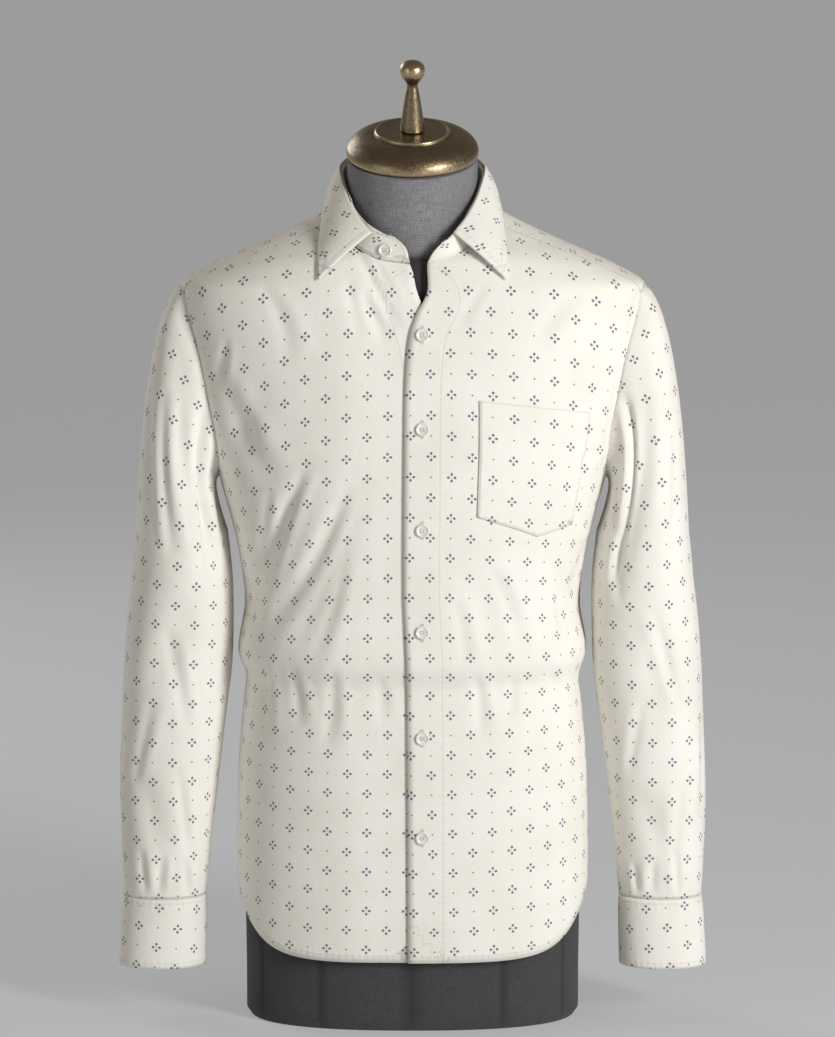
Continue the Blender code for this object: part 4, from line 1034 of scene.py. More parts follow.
class NodeWeb:
    """A tree of shader nodes with short ways to add to it."""

    def __init__(self, tree: bpy.types.NodeTree) -> None:
        """Keeps the tree that nodes go into."""
        self.tree = tree

    def add(self, kind: str, **values: object) -> bpy.types.Node:
        """Adds a node, sets its own choices and then its inputs.

        Args:
            kind: the node's type.
            values: the node's choices in lower case, and its inputs by their names, with
                spaces written as underscores.

        Returns:
            The node.
        """
        node = self.tree.nodes.new(kind)
        for key in (k for k in values if k[0].islower()):
            setattr(node, key, values[key])
        for key in (k for k in values if k[0].isupper()):
            self.feed(node.inputs[key.replace("_", " ")], values[key])
        return node

    def feed(self, socket: bpy.types.NodeSocket, value: object) -> None:
        """Links a socket into another, or sets its value."""
        if isinstance(value, bpy.types.NodeSocket):
            self.tree.links.new(value, socket)
        else:
            socket.default_value = value

    def calc(self, operation: str, *values: object) -> bpy.types.NodeSocket:
        """Adds a Math node and returns its result."""
        node = self.tree.nodes.new("ShaderNodeMath")
        node.operation = operation
        for socket, value in zip(node.inputs, values):
            self.feed(socket, value)
        return node.outputs[0]

    def times(self, first: object, second: object, plus: object = None) -> bpy.types.NodeSocket:
        """Returns the product of two values, with a third one added if it is given."""
        if plus is None:
            return self.calc("MULTIPLY", first, second)
        return self.calc("MULTIPLY_ADD", first, second, plus)

    def plus(self, first: object, second: object) -> bpy.types.NodeSocket:
        """Returns the sum of two values."""
        return self.calc("ADD", first, second)

    def minus(self, first: object, second: object) -> bpy.types.NodeSocket:
        """Returns the difference of two values."""
        return self.calc("SUBTRACT", first, second)

    def over(self, first: object, second: object) -> bpy.types.NodeSocket:
        """Returns the quotient of two values."""
        return self.calc("DIVIDE", first, second)

    def spot(self) -> bpy.types.NodeSocket:
        """Returns the object's own coordinates."""
        return self.add("ShaderNodeTexCoord").outputs["Object"]

    def flat_place(self) -> bpy.types.NodeSocket:
        """Returns the place on the flat cut, in metres."""
        return self.add("ShaderNodeUVMap", uv_map="UVMap").outputs[0]

    def attribute(self, name: str) -> bpy.types.NodeSocket:
        """Returns a value that the mesh carries."""
        return self.add("ShaderNodeAttribute", attribute_name=name).outputs["Fac"]

    def group(self, tree: bpy.types.NodeTree, **values: object) -> Sequence:
        """Adds an effect and returns its outputs."""
        return self.add("ShaderNodeGroup", node_tree=tree, **values).outputs

    def bump(self, height: object, strength: float, distance: float) -> bpy.types.NodeSocket:
        """Returns the normal that a height gives."""
        return self.add("ShaderNodeBump", Strength=strength, Distance=distance,
                        Height=height).outputs[0]

    def step(self, value: object, low: float, high: float) -> bpy.types.NodeSocket:
        """Returns a soft step of value, 0 at low and 1 at high."""
        node = self.add("ShaderNodeMapRange", interpolation_type="SMOOTHSTEP", Value=value,
                        From_Min=low, From_Max=high)
        return node.outputs[0]

    def blend(self, share: object, first: object, second: object) -> bpy.types.NodeSocket:
        """Returns a colour between first and second."""
        node = self.tree.nodes.new("ShaderNodeMix")
        node.data_type = "RGBA"
        for index, value in ((0, share), (6, first), (7, second)):
            self.feed(node.inputs[index], value)
        return node.outputs[2]

    def split(self, place: object) -> Sequence[bpy.types.NodeSocket]:
        """Returns the three parts of a place."""
        return self.add("ShaderNodeSeparateXYZ", Vector=place).outputs

    def length(self, first: object, second: object) -> bpy.types.NodeSocket:
        """Returns the length of a flat vector."""
        return self.calc("SQRT", self.plus(self.times(first, first), self.times(second, second)))

    def mottle(self, size: float) -> Sequence[bpy.types.NodeSocket]:
        """Adds the cloudy unevenness in the object's own space and returns its outputs."""
        return self.group(mottle_effect(), Place=self.spot(), Size=size)

    def noise(self, place: object, scale: object, detail: float = 3.0) -> bpy.types.NodeSocket:
        """Returns a soft noise value at a place."""
        node = self.add("ShaderNodeTexNoise", Vector=place, Scale=scale, Detail=detail)
        return node.outputs[0]

    def stretched(self, place: object, scale: Spot) -> bpy.types.NodeSocket:
        """Returns a place scaled along each axis."""
        node = self.add("ShaderNodeMapping", Vector=place, Scale=scale)
        return node.outputs[0]


def effect(name: str, inputs: dict[str, str], outputs: dict[str, str]
           ) -> tuple[bpy.types.NodeTree, NodeWeb, bpy.types.Node, bpy.types.Node]:
    """Starts a node group for an effect.

    Args:
        name: the effect.
        inputs: socket names and kinds going in.
        outputs: socket names and kinds coming out.

    Returns:
        The group, its web and its two end nodes.
    """
    tree = bpy.data.node_groups.new(name, "ShaderNodeTree")
    for way, sockets in (("INPUT", inputs), ("OUTPUT", outputs)):
        for label, kind in sockets.items():
            tree.interface.new_socket(label, in_out=way, socket_type="NodeSocket" + kind)
    web = NodeWeb(tree)
    return tree, web, tree.nodes.new("NodeGroupInput"), tree.nodes.new("NodeGroupOutput")


def weave_effect() -> bpy.types.NodeTree:
    """Returns the plain weave: crossing threads with slubs, as a height."""
    if "weave" in bpy.data.node_groups:
        return bpy.data.node_groups["weave"]
    tree, web, start, end = effect("weave", {"Place": "Vector", "Pitch": "Float"},
                                   {"Height": "Float", "Slub": "Float"})
    place = start.outputs["Place"]
    turn = web.over(2 * math.pi, start.outputs["Pitch"])
    waves = [web.calc("COSINE", web.times(way, turn)) for way in web.split(place)[:2]]
    slubs = [web.minus(web.noise(web.stretched(place, scale), 1.0, 2.0), 0.5)
             for scale in ((1500.0, 130.0, 130.0), (110.0, 1500.0, 110.0))]
    slub = web.plus(*slubs)
    web.feed(end.inputs["Height"], web.times(web.times(*waves), 0.35, slub))
    web.feed(end.inputs["Slub"], slub)
    return tree


def mottle_effect() -> bpy.types.NodeTree:
    """Returns cloudy unevenness at two sizes, as masks."""
    if "mottle" in bpy.data.node_groups:
        return bpy.data.node_groups["mottle"]
    tree, web, start, end = effect("mottle", {"Place": "Vector", "Size": "Float"},
                                   {"Mask": "Float", "Fine": "Float"})
    place, rate = start.outputs["Place"], web.over(1.0, start.outputs["Size"])
    fine = web.noise(place, web.times(rate, 7.0), 4.0)
    web.feed(end.inputs["Mask"], web.step(web.noise(place, rate), 0.34, 0.68))
    web.feed(end.inputs["Fine"], web.step(fine, 0.30, 0.72))
    return tree


def print_effect(motif: "Motif") -> bpy.types.NodeTree:
    """Returns the small repeat, charted dot by dot, as a mask of its ink."""
    tree, web, start, end = effect("small_repeat", {"Place": "Vector"}, {"Ink": "Float"})
    place = start.outputs["Place"]
    drift = web.times(web.minus(web.noise(place, motif.shake_rate, 1.0), 0.5), motif.shake)
    cells, offsets = [], []
    for way in web.split(place)[:2]:
        scaled = web.over(way, motif.pitch)
        cells.append(web.calc("FLOOR", scaled))
        inside = web.minus(web.calc("FRACT", scaled), 0.5)
        offsets.append(web.calc("ABSOLUTE", web.times(inside, motif.pitch)))
    odd = web.calc("PINGPONG", web.plus(*cells), 1.0)
    far, near = (web.calc(word, *offsets) for word in ("MAXIMUM", "MINIMUM"))
    petal = web.length(web.over(web.minus(far, motif.reach), motif.dot_long / 2),
                       web.over(near, motif.dot_wide / 2))
    petal = web.plus(petal, web.over(drift, motif.dot_wide / 2))
    from_middle = web.length(far, near)
    middle = web.over(from_middle, motif.middle / 2)
    dot = web.over(web.plus(from_middle, drift), motif.single / 2)
    petal, dot, middle = (web.minus(1.0, web.step(shape, 0.86, 1.14))
                          for shape in (petal, dot, middle))
    group = web.calc("MAXIMUM", petal, web.times(middle, 0.55))
    group = web.times(group, web.minus(1.0, odd))
    web.feed(end.inputs["Ink"], web.times(dot, odd, group))
    return tree


def new_material(name: str) -> tuple[bpy.types.Material, NodeWeb, bpy.types.Node]:
    """Returns a new material, its web and its shader."""
    material = bpy.data.materials.new(name)
    material.use_nodes = True
    tree = material.node_tree
    return material, NodeWeb(tree), tree.nodes["Principled BSDF"]


class Finish:
    """A finish, whose material is made once under the finish's name."""

    name: ClassVar[str]

    def material(self) -> bpy.types.Material:
        """Returns the material, made once."""
        if self.name in bpy.data.materials:
            return bpy.data.materials[self.name]
        material, web, shader = new_material(self.name)
        for label, value in self.inputs(web).items():
            web.feed(shader.inputs[label], value)
        return material

    def inputs(self, web: NodeWeb) -> dict[str, object]:
        """Returns the shader's inputs by their names, with the nodes for them in the web."""
        raise NotImplementedError


@dataclass(frozen=True)
class Motif:
    """The printed repeat: groups of four dots and single dots by turns on a square grid."""

    pitch: float = 0.0200
    reach: float = 0.00318
    dot_long: float = 0.0029
    dot_wide: float = 0.0026
    middle: float = 0.0011
    single: float = 0.0017
    shake: float = 0.0005  # how far the edges of the dots wander
    shake_rate: float = 420.0
    ink: Colour = (0.112, 0.116, 0.200, 1.0)


@dataclass(frozen=True)
class PrintedCotton(Finish):
    """Cream cotton shirting, softly creased, with the small repeat printed on it."""

    name: ClassVar[str] = "printed_cotton"
    motif: Motif = field(default_factory=Motif)
    cream: Colour = (0.840, 0.822, 0.762, 1.0)
    shade: Colour = (0.805, 0.782, 0.710, 1.0)
    stitch_groove_shade: Colour = (0.60, 0.560, 0.46, 1.0)  # painted shade in the groove that a line of stitches draws in
    thread: Colour = (0.83, 0.81, 0.75, 1.0)
    thread_pitch: float = 0.0006
    stitch_length: float = 0.0026
    pucker_length: float = 0.0068

    def stitches(self, web: NodeWeb) -> Sequence[bpy.types.NodeSocket]:
        """Returns masks from the distance to the next line of stitches.

        Args:
            web: the web of the cloth's material.

        Returns:
            The drawn-in strip, which carries painted shade, the thread's dashes and the puckers'
            waves with their reach.
        """
        away = web.calc("ABSOLUTE", web.attribute("stitch_offset"))
        run = web.attribute("stitch_run")
        near = web.minus(1.0, web.step(away, 0.0002, 0.0014))
        thread = web.minus(1.0, web.step(away, 0.00012, 0.00040))
        beat = web.calc("FRACT", web.over(run, self.stitch_length))
        thread = web.times(thread, web.step(web.calc("PINGPONG", beat, 0.5), 0.10, 0.20))
        reach = web.minus(1.0, web.step(away, 0.001, 0.0060))
        waves = web.calc("SINE", web.times(run, 2 * math.pi / self.pucker_length))
        return near, thread, waves, reach

    def inputs(self, web: NodeWeb) -> dict[str, object]:
        """Returns the shader's inputs: cream cloth, then stitches with painted shade along them,
        then the print.
        """
        place = web.flat_place()
        ink = web.group(print_effect(self.motif), Place=place)["Ink"]
        weave = web.group(weave_effect(), Place=place, Pitch=self.thread_pitch)
        mottle = web.mottle(0.060)
        near, thread, waves, reach = self.stitches(web)
        cloth = web.blend(mottle["Mask"], self.cream, self.shade)
        # painted shade in the drawn-in strip along each line of stitches
        cloth = web.blend(web.times(near, 0.13), cloth, self.stitch_groove_shade)
        faded = web.times(ink, web.times(weave["Slub"], 0.10, 0.90))
        cloth = web.blend(faded, cloth, self.motif.ink)
        cloth = web.blend(web.times(thread, 0.8), cloth, self.thread)
        height = web.times(weave["Height"], 0.050)
        height = web.times(near, -0.42, height)
        height = web.times(thread, 0.35, height)
        pucker = web.times(web.plus(waves, mottle["Fine"]), reach)
        height = web.times(pucker, 0.20, height)
        height = web.times(mottle["Fine"], 0.22, height)
        return {"Base Color": cloth, "Normal": web.bump(height, 0.8, 0.0006),
                "Roughness": web.times(weave["Slub"], 0.10, 0.78), "Specular IOR Level": 0.28,
                "Sheen Weight": 0.12, "Sheen Roughness": 0.45}


@dataclass(frozen=True)
class SewingThread(Finish):
    """Matt cotton thread, spun round."""

    name: ClassVar[str] = "sewing_thread"
    tone: Colour = (0.79, 0.77, 0.70, 1.0)
    # painted shade in the grooves of the twist
    twist_groove_shade: Colour = (0.60, 0.58, 0.52, 1.0)
    twist_pitch: float = 0.00055

    def inputs(self, web: NodeWeb) -> dict[str, object]:
        """Returns the shader's inputs: slanting grooves of the twist, with painted shade in them.
        """
        x, _, z = web.split(web.spot())
        lay = web.calc("SINE", web.times(web.plus(x, z), 2 * math.pi / self.twist_pitch))
        lay = web.times(lay, 0.5, 0.5)
        return {"Base Color": web.blend(lay, self.twist_groove_shade, self.tone),
                "Normal": web.bump(lay, 0.6, 0.0002), "Roughness": 0.75}


@dataclass(frozen=True)
class Pearl(Finish):
    """Pearly white button stuff with faint clouds in its depth."""

    name: ClassVar[str] = "pearly_shell"
    white: Colour = (0.840, 0.825, 0.780, 1.0)
    cloud: Colour = (0.720, 0.705, 0.660, 1.0)

    def inputs(self, web: NodeWeb) -> dict[str, object]:
        """Returns the shader's inputs: clouds under a thin clear coat."""
        cloud = web.mottle(0.0050)
        return {"Base Color": web.blend(cloud["Mask"], self.white, self.cloud),
                "Roughness": web.times(cloud["Fine"], 0.12, 0.16), "Coat Weight": 0.5,
                "Coat Roughness": 0.12, "Sheen Weight": 0.15}


@dataclass(frozen=True)
class FormCloth(Finish):
    """Dark grey woven cover of the dress form."""

    name: ClassVar[str] = "woven_form_cover"
    light: Colour = (0.340, 0.336, 0.350, 1.0)
    dark: Colour = (0.150, 0.148, 0.158, 1.0)
    worn: Colour = (0.190, 0.187, 0.192, 1.0)
    seam: Colour = (0.050, 0.050, 0.055, 1.0)
    hidden: Colour = (0.020, 0.019, 0.018, 1.0)  # near black below the neck's seam

    def inputs(self, web: NodeWeb) -> dict[str, object]:
        """Returns the shader's inputs: flecked threads, sewn seams and near black below the neck's
        seam.
        """
        weave = web.group(weave_effect(), Place=web.flat_place(), Pitch=0.0011)
        mottle = web.mottle(0.030)
        flecks = web.step(weave["Height"], -0.35, 0.40)
        tone = web.blend(flecks, self.dark, self.light)
        tone = web.blend(web.times(mottle["Mask"], 0.35), tone, self.worn)
        tone = web.blend(web.times(web.attribute("seam"), 0.6), tone, self.seam)
        tone = web.blend(web.times(web.attribute("below_seam"), 0.8), tone, self.hidden)
        height = web.times(mottle["Fine"], 0.3, weave["Height"])
        return {"Base Color": tone, "Normal": web.bump(height, 0.7, 0.0005),
                "Roughness": web.times(flecks, 0.10, 0.84), "Sheen Weight": 0.06,
                "Specular IOR Level": 0.2}


@dataclass(frozen=True)
class AntiqueBronze(Finish):
    """Brown bronze, rubbed bright on its raised places and dark in its hollows."""

    name: ClassVar[str] = "rubbed_bronze"
    body: Colour = (0.210, 0.158, 0.094, 1.0)
    bright: Colour = (0.560, 0.440, 0.275, 1.0)
    dull: Colour = (0.070, 0.052, 0.032, 1.0)

    def inputs(self, web: NodeWeb) -> dict[str, object]:
        """Returns the shader's inputs: bright where the mesh says that it is worn."""
        mottle = web.mottle(0.016)
        wear = web.attribute("wear")
        rubbed = web.step(web.plus(wear, web.times(mottle["Fine"], 0.22, -0.10)), 0.30, 0.95)
        hollow = web.step(web.minus(mottle["Mask"], wear), 0.25, 0.95)
        tone = web.blend(web.times(hollow, 0.75), self.body, self.dull)
        rough = web.times(mottle["Fine"], 0.16, 0.32)
        return {"Base Color": web.blend(rubbed, tone, self.bright),
                "Metallic": web.times(hollow, -0.25, 1.0),
                "Roughness": web.times(rubbed, -0.10, rough),
                "Normal": web.bump(mottle["Fine"], 0.22, 0.0003), "Coat Weight": 0.35,
                "Coat Roughness": 0.28}


# Buttons


@dataclass
class Buttons:
    """The buttons, each with four holes and its thread, and the holes worked for them."""

    rim: Rows = (  # radius, height of the button's outside, from the dish outwards
        (0.00430, 0.00010), (0.00475, 0.00035), (0.00520, 0.00085), (0.00575, 0.00108),
        (0.00630, 0.00088), (0.00660, 0.00035), (0.00655, -0.00030), (0.00610, -0.00085),
        (0.00520, -0.00108))
    wrist: tuple[float, float] = (0.25, -0.012)  # the middle of a cuff, x without its sign
    hole: float = 0.00085
    hole_offset: float = 0.00140
    hole_floor: float = -0.0008
    strand: Spot = (0.00055, 0.00195, 0.00045)
    strand_rise: float = 0.00012
    slit: float = 0.0088
    slit_wide: float = 0.0011
    slit_thread: float = 0.00042
    slit_sink: float = 0.00125
    nodes: Sequence[str] = ("button_stand", "button_front_1", "button_front_2", "button_front_3",
                            "button_front_4", "button_front_5", "button_front_6",
                            "button_cuff_left", "button_cuff_right")

    def build(self) -> None:
        """Makes each button where its solid is, and the buttonholes of the front."""
        for node in self.nodes:
            where = self.placing(node)
            self.button(node, where)
            if "front" in node:
                self.buttonhole(node, where)

    def placing(self, node: str) -> Matrix:
        """Reads where a button's solid is and how it faces.

        Args:
            node: the button's solid.

        Returns:
            The matrix from the button's own axes, its outside towards z, to its place.
        """
        points = np.array([v.co[:] for v in bpy.data.objects[node].data.vertices])
        centre = (points.max(axis=0) + points.min(axis=0)) / 2
        normal = Vector(np.linalg.svd(points - points.mean(axis=0))[2][2])
        wrist_x, wrist_y = self.wrist
        axis = Vector((wrist_x * np.sign(centre[0]), wrist_y, 0)) if "cuff" in node else Vector()
        outward = Vector(centre) - axis
        outward.z = 0
        normal = normal if normal.dot(outward) > 0 else -normal
        across = Vector((0, 0, 1)).cross(normal).normalized()
        up = normal.cross(across)
        turn = Matrix((across, up, normal)).transposed().to_4x4()
        return Matrix.Translation(centre) @ turn

    def button(self, node: str, where: Matrix) -> None:
        """Makes one button with a raised rim, a dished middle, four holes and its thread."""
        bm = bmesh.new()
        bmesh.ops.create_circle(bm, segments=32, radius=self.rim[0][0])
        spots = [(a * self.hole_offset, b * self.hole_offset) for a in (-1, 1) for b in (-1, 1)]
        for x, y in spots:
            bmesh.ops.create_circle(bm, segments=10, radius=self.hole,
                                    matrix=Matrix.Translation((x, y, 0)))
        bmesh.ops.triangle_fill(bm, use_beauty=True, edges=list(bm.edges), normal=(0, 0, 1))
        for face in bm.faces:
            if face.normal.z < 0:
                face.normal_flip()
        border = [e for e in bm.edges if e.is_boundary]
        outer = [e for e in border if all(v.co.length > self.rim[0][0] * 0.9 for v in e.verts)]
        inner = [e for e in border if e not in outer]
        for (r0, z0), (r1, z1) in zip(self.rim, self.rim[1:]):
            out = bmesh.ops.extrude_edge_only(bm, edges=outer)["geom"]
            verts = of_kind(out, bmesh.types.BMVert)
            bmesh.ops.scale(bm, vec=(r1 / r0, r1 / r0, 1), verts=verts)
            bmesh.ops.translate(bm, vec=(0, 0, z1 - z0), verts=verts)
            outer = of_kind(out, bmesh.types.BMEdge)
        bmesh.ops.contextual_create(bm, geom=outer)
        out = bmesh.ops.extrude_edge_only(bm, edges=inner)["geom"]
        bmesh.ops.translate(bm, vec=(0, 0, self.hole_floor),
                            verts=of_kind(out, bmesh.types.BMVert))
        bmesh.ops.holes_fill(bm, edges=of_kind(out, bmesh.types.BMEdge))
        bmesh.ops.recalc_face_normals(bm, faces=bm.faces)
        plain = set(bm.faces)
        for x in (-self.hole_offset, self.hole_offset):
            made = bmesh.ops.create_uvsphere(bm, u_segments=10, v_segments=8, radius=1.0)
            bmesh.ops.scale(bm, vec=self.strand, verts=made["verts"])
            bmesh.ops.translate(bm, vec=(x, 0, self.strand_rise), verts=made["verts"])
        smooth_all(bm)
        for face in bm.faces:
            face.material_index = 0 if face in plain else 1
        bm.transform(where)
        obj = finished(node + "_pearl", bm, Pearl().material(), SewingThread().material())
        obj.data.set_sharp_from_angle(angle=math.radians(48))
        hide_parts(node)

    def buttonhole(self, node: str, where: Matrix) -> None:
        """Works one upright buttonhole: a long loop of thread on the front's edge band."""
        bm = bmesh.new()
        section = bmesh.ops.create_circle(bm, segments=8, radius=self.slit_thread)["verts"]
        bmesh.ops.rotate(bm, cent=(0, 0, 0), matrix=Matrix.Rotation(math.pi / 2, 3, "X"),
                         verts=section)
        bmesh.ops.translate(bm, vec=(self.slit_wide, 0, 0), verts=section)
        bmesh.ops.spin(bm, geom=list(bm.verts) + list(bm.edges), cent=(0, 0, 0), axis=(0, 0, 1),
                       angle=2 * math.pi, steps=24, use_merge=True, use_duplicate=False)
        for vert in bm.verts:
            vert.co.y += math.copysign(self.slit - self.slit_wide, vert.co.y)
            vert.co.z = vert.co.z * 0.6 - self.slit_sink
        bmesh.ops.recalc_face_normals(bm, faces=bm.faces)
        smooth_all(bm)
        bm.transform(where)
        obj = finished(node + "_hole", bm, SewingThread().material())


def smooth_all(bm: bmesh.types.BMesh) -> None:
    """Shades every face smoothly."""
    for face in bm.faces:
        face.smooth = True


def of_kind(geometry: Sequence, kind: type) -> list:
    """Returns only the vertices, or only the edges, of what an operator made."""
    return [item for item in geometry if isinstance(item, kind)]


def finished(name: str, bm: bmesh.types.BMesh, *materials: bpy.types.Material
             ) -> bpy.types.Object:
    """Turns a bmesh into a piece that rides on the object.

    Args:
        name: the piece's name.
        bm: its mesh, freed here.
        materials: its materials in the order of their indices.

    Returns:
        The piece.
    """
    mesh = written(name, bm)
    for material in materials:
        mesh.materials.append(material)
    obj = linked(name, mesh)
    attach(obj, "root")
    return obj


# The dress form


@dataclass
class DressForm:
    """The limbless form: its padded body, the neck cap and the finial."""

    skin: ShirtSkin = field(default_factory=ShirtSkin)
    neck_radius: float = 0.0643
    neck_base_y: float = -0.0065
    neck_base_z: float = 0.790
    neck_top_z: float = 0.818  # from here up the rings tilt towards the cap
    loose: float = 0.0030  # how far the form lies inside the shirt everywhere
    loose_body: float = 0.0052  # what is added below the shoulders
    loose_neck: float = 0.0012
    loose_front: float = 0.0042  # what is added in front and behind
    neck_lean: float = 0.20
    neck_seam_z: float = 0.7695
    seam_half: float = 0.0016
    seam_half_angle: float = 0.9
    seam_depth: float = 0.0009
    seam_angles: Sequence[float] = (-180, -150, -112, -62, -28, 0, 28, 62, 112, 150, 180)
    weave_radius: float = 0.145  # turns angles round the form into lengths of cloth
    cap_gap: float = 0.0058
    cap_tilt: float = math.radians(18)
    cap_centre: Spot = (0.0, -0.0225, 0.8705)
    cap_profile: Rows = (  # radius, height over the rim plane, wear
        (0.0610, -0.0050, 0.0), (0.0630, -0.0050, 0.1), (0.0648, -0.0038, 0.9),
        (0.0653, -0.0010, 0.7), (0.0647, 0.0028, 0.5), (0.0618, 0.0078, 0.3),
        (0.0565, 0.0124, 0.2), (0.0500, 0.0156, 0.1), (0.0430, 0.0176, 0.0),
        (0.0392, 0.0180, 0.0), (0.0382, 0.0176, 0.0), (0.0374, 0.0184, 0.2),
        (0.0371, 0.0199, 0.8), (0.0362, 0.0207, 1.0), (0.0350, 0.0206, 0.5),
        (0.0335, 0.0200, 0.1), (0.0200, 0.0200, 0.2), (0.0060, 0.0200, 0.1))
    finial_profile: Rows = (
        (0.0108, 0.0204, 0.0), (0.0114, 0.0206, 0.2), (0.0121, 0.0220, 0.7),
        (0.0119, 0.0255, 0.5), (0.0101, 0.0376, 0.4), (0.0088, 0.0460, 0.4),
        (0.0075, 0.0544, 0.4), (0.0060, 0.0625, 0.3), (0.0052, 0.0665, 0.1),
        (0.0063, 0.0702, 0.1), (0.0088, 0.0738, 0.3), (0.0112, 0.0780, 0.6),
        (0.0123, 0.0830, 0.8), (0.0110, 0.0880, 0.7), (0.0070, 0.0912, 0.6),
        (0.0035, 0.0920, 0.5))

    def build(self) -> None:
        """Builds the form from the foot up."""
        self.body()
        self.turned("neck_cap", self.cap_profile, 0.0200)
        self.turned("finial", self.finial_profile, 0.0923)

    def ring(self, z: float, turns: np.ndarray) -> Grid:
        """Returns one section of the form inside the shirt.

        Args:
            z: its height on the shirt's skin.
            turns: angles round the form, in degrees.

        Returns:
            The section's points.
        """
        extra = self.loose_body * (1 - smooth(z, 0.690, 0.745))
        extra = extra + self.loose_neck * smooth(z, 0.78, 0.80)
        loose = self.loose + extra + self.loose_front * np.abs(np.cos(np.radians(turns)))
        ring = self.skin.bare(turns, z) - self.skin.normal(turns, z) * loose[:, None]
        neck_y = self.neck_y(max(z, 0.720))
        r, theta = np.hypot(ring[:, 0], ring[:, 1]), np.arctan2(ring[:, 1], ring[:, 0])
        b = neck_y * np.sin(theta)
        radius = self.neck_radius + 0.02 * smooth(z, 0.80, 0.72)
        column = b + np.sqrt(b**2 - neck_y**2 + radius**2)
        sharp = 18.0  # the larger of the two radii, with a rounded change between them
        both = (r**sharp + column**sharp)**(1 / sharp)
        r = r + (both - r) * smooth(z, 0.740, 0.765)
        return np.stack([r * np.cos(theta), r * np.sin(theta), ring[:, 2]], axis=1)

    def neck_y(self, z: float) -> float:
        """Returns the y of the leaning neck's axis at a height."""
        return self.neck_base_y - self.neck_lean * (z - self.neck_base_z)

    def body(self) -> None:
        """Builds the padded body and neck in one smooth closed piece with sewn seams."""
        turns = np.linspace(-180, 180, 129)
        levels = np.concatenate([np.linspace(0.006, 0.69, 60),
                                 np.linspace(0.70, self.neck_top_z, 32)])
        rings = [self.ring(float(z), turns) for z in levels]
        theta = np.arctan2(rings[-1][:, 1], rings[-1][:, 0])
        for share in np.linspace(0.08, 1.0, 12):
            under_cap = self.cap_centre[2] - self.cap_gap
            middle = self.neck_top_z + (under_cap - self.neck_top_z) * share
            x, y = self.neck_radius * np.cos(theta), self.neck_radius * np.sin(theta)
            rings.append(np.stack([x, y + self.neck_y(middle),
                                   middle + y * math.tan(self.cap_tilt) * share], axis=1))
        foot = rings[0] * np.array([0.975, 0.965, 0.0])
        grid = np.array([foot] + rings)
        normal = grid_normals(grid)
        height = grid[..., 2]
        seam = np.exp(-((height - self.neck_seam_z) / self.seam_half)**2)
        below = smooth(height, 0.0, 0.01) * smooth(height, self.neck_seam_z + 0.001,
                                                   self.neck_seam_z - 0.001)
        for angle in self.seam_angles:
            upright = np.exp(-((turns - angle) / self.seam_half_angle)**2)
            seam = np.maximum(seam, upright[None, :] * below)
        grid = grid - normal * (self.seam_depth * seam)[..., None]
        bm, index = lay_grid(grid)
        layer = bm.verts.layers.float.new("seam")
        under = bm.verts.layers.float.new("below_seam")
        for vert in bm.verts:
            place = tuple(index[vert.index])
            vert[layer] = float(seam[place])
            vert[under] = float(smooth(grid[place][2], self.neck_seam_z, self.neck_seam_z - 0.002))
        flat = bm.loops.layers.uv.new("UVMap")
        for face in bm.faces:
            for loop in face.loops:
                row, col = index[loop.vert.index]
                loop[flat].uv = (math.radians(turns[col]) * self.weave_radius,
                                 grid[row, col, 2])
        bmesh.ops.remove_doubles(bm, verts=bm.verts, dist=1e-5)
        bmesh.ops.holes_fill(bm, edges=[e for e in bm.edges if e.is_boundary])
        for face in bm.faces:
            face.smooth = len(face.verts) < 5
        obj = finished("form_body_cover", bm, FormCloth().material())
        obj.data.set_sharp_from_angle(angle=math.radians(50))
        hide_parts("form_body")

    def turned(self, node: str, profile: Rows, top: float) -> None:
        """Turns a bronze piece on the tilted axis of the neck.

        Args:
            node: the solid that it stands for.
            profile: radius, height and wear from its foot to its top.
            top: the height of its top on the axis.
        """
        rows = densify(np.array(profile, dtype=float), 5)
        rows = np.vstack([[0.0, rows[0, 1], 0.0], rows, [0.0, top, rows[-1, 2]]])
        bm = bmesh.new()
        layer = bm.verts.layers.float.new("wear")
        line = []
        for radius, height, wear in rows:
            vert = bm.verts.new((radius, 0, height))
            vert[layer] = wear
            line.append(vert)
        edges = [bm.edges.new(pair) for pair in zip(line, line[1:])]
        bmesh.ops.spin(bm, geom=line + edges, cent=(0, 0, 0), axis=(0, 0, 1),
                       angle=2 * math.pi, steps=96, use_merge=True, use_duplicate=False)
        bmesh.ops.remove_doubles(bm, verts=bm.verts, dist=1e-6)
        bmesh.ops.recalc_face_normals(bm, faces=bm.faces)
        smooth_all(bm)
        bm.transform(Matrix.Translation(self.cap_centre)
                     @ Matrix.Rotation(self.cap_tilt, 4, "X"))
        obj = finished(node + "_bronze", bm, AntiqueBronze().material())
        obj.data.set_sharp_from_angle(angle=math.radians(40))
        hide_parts(node)


# The studio


def facing(way: Vector) -> Euler:
    """Returns the turn that points a lamp or the camera along a way."""
    return way.to_track_quat("-Z", "Y").to_euler()


@dataclass(frozen=True)
class StudioLight:
    """One soft lamp: where it stands, where it points, its sides and its power in watts."""

    name: str
    place: Spot
    aim: Spot
    width: float
    height: float
    power: float


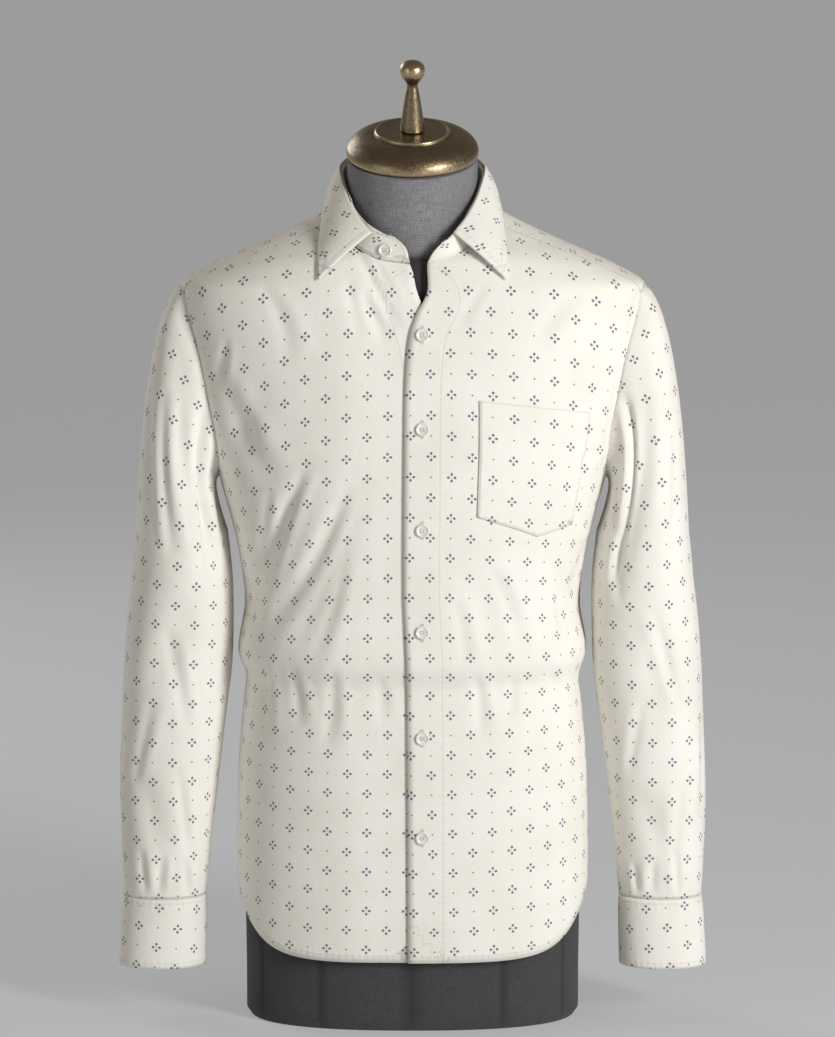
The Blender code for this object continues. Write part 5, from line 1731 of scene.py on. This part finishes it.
@dataclass
class Studio:
    """A wide pale floor, soft lights and the camera."""

    floor_tone: Colour = (0.300, 0.305, 0.315, 1.0)
    floor_glow: Colour = (0.262, 0.268, 0.280, 1.0)
    floor_half: float = 90.0
    air: Colour = (1.0, 0.89, 0.73, 1.0)
    air_strength: float = 0.20
    target: Spot = (0.005, 0.0, 0.5015)
    elevation: float = math.radians(7.5)
    distance: float = 4.5
    lens: float = 156.22
    lights: Sequence[StudioLight] = (
        StudioLight("key", (2.2, -2.35, 1.35), (0.0, 0.0, 0.55), 0.75, 1.5, 92.0),
        StudioLight("fill", (-2.6, -2.4, 1.0), (0.0, 0.0, 0.5), 1.8, 1.8, 11.0),
        StudioLight("rim", (-1.9, 2.3, 2.0), (0.0, 0.0, 0.5), 1.6, 1.6, 26.0))

    def build(self) -> None:
        """Sets up the floor, the lights and the camera."""
        self.floor()
        for light in self.lights:
            data = bpy.data.lights.new(light.name, "AREA")
            data.shape, data.energy = "RECTANGLE", light.power
            data.size, data.size_y = light.width, light.height
            lamp = linked(light.name, data)
            lamp.location = light.place
            lamp.rotation_euler = facing(Vector(light.aim) - Vector(light.place))
        world = bpy.data.worlds.new("studio")
        bpy.context.scene.world = world
        world.use_nodes = True
        background = world.node_tree.nodes["Background"]
        background.inputs["Color"].default_value = self.air
        background.inputs["Strength"].default_value = self.air_strength
        bpy.context.scene.view_settings.view_transform = "Standard"
        self.camera()

    def floor(self) -> None:
        """Builds the wide plain floor, whose paper glows a little so that it stays even."""
        bm = bmesh.new()
        bmesh.ops.create_grid(bm, x_segments=1, y_segments=1, size=self.floor_half)
        mesh = written("studio_floor", bm)
        material, web, shader = new_material("studio_paper")
        dim = tuple(c * 0.97 for c in self.floor_tone[:3]) + (1.0,)
        web.feed(shader.inputs["Base Color"],
                 web.blend(web.mottle(0.9)["Mask"], self.floor_tone, dim))
        shader.inputs["Emission Color"].default_value = self.floor_glow
        shader.inputs["Emission Strength"].default_value = 1.0
        shader.inputs["Roughness"].default_value = 0.9
        mesh.materials.append(material)
        linked("studio_floor", mesh)

    def camera(self) -> None:
        """Places the camera level with the photograph's."""
        data = bpy.data.cameras.new("camera")
        data.lens, data.sensor_fit, data.sensor_height = self.lens, "VERTICAL", 36.0
        data.clip_end = 300.0  # beyond the far edge of the floor
        camera = linked("camera", data)
        target = Vector(self.target)
        way = Vector((0, -math.cos(self.elevation), math.sin(self.elevation)))
        camera.location = target + way * self.distance
        camera.rotation_euler = facing(-way)
        bpy.context.scene.camera = camera


def main() -> None:
    """Builds the form, the shirt, its buttons and the studio."""
    logging.basicConfig(level=logging.INFO, format="%(name)s: %(message)s")
    LOG.info("dress form")
    DressForm().build()
    LOG.info("shirt")
    Shirt().build(PrintedCotton())
    LOG.info("buttons")
    Buttons().build()
    LOG.info("studio")
    Studio().build()


if __name__ == "__main__":
    main()
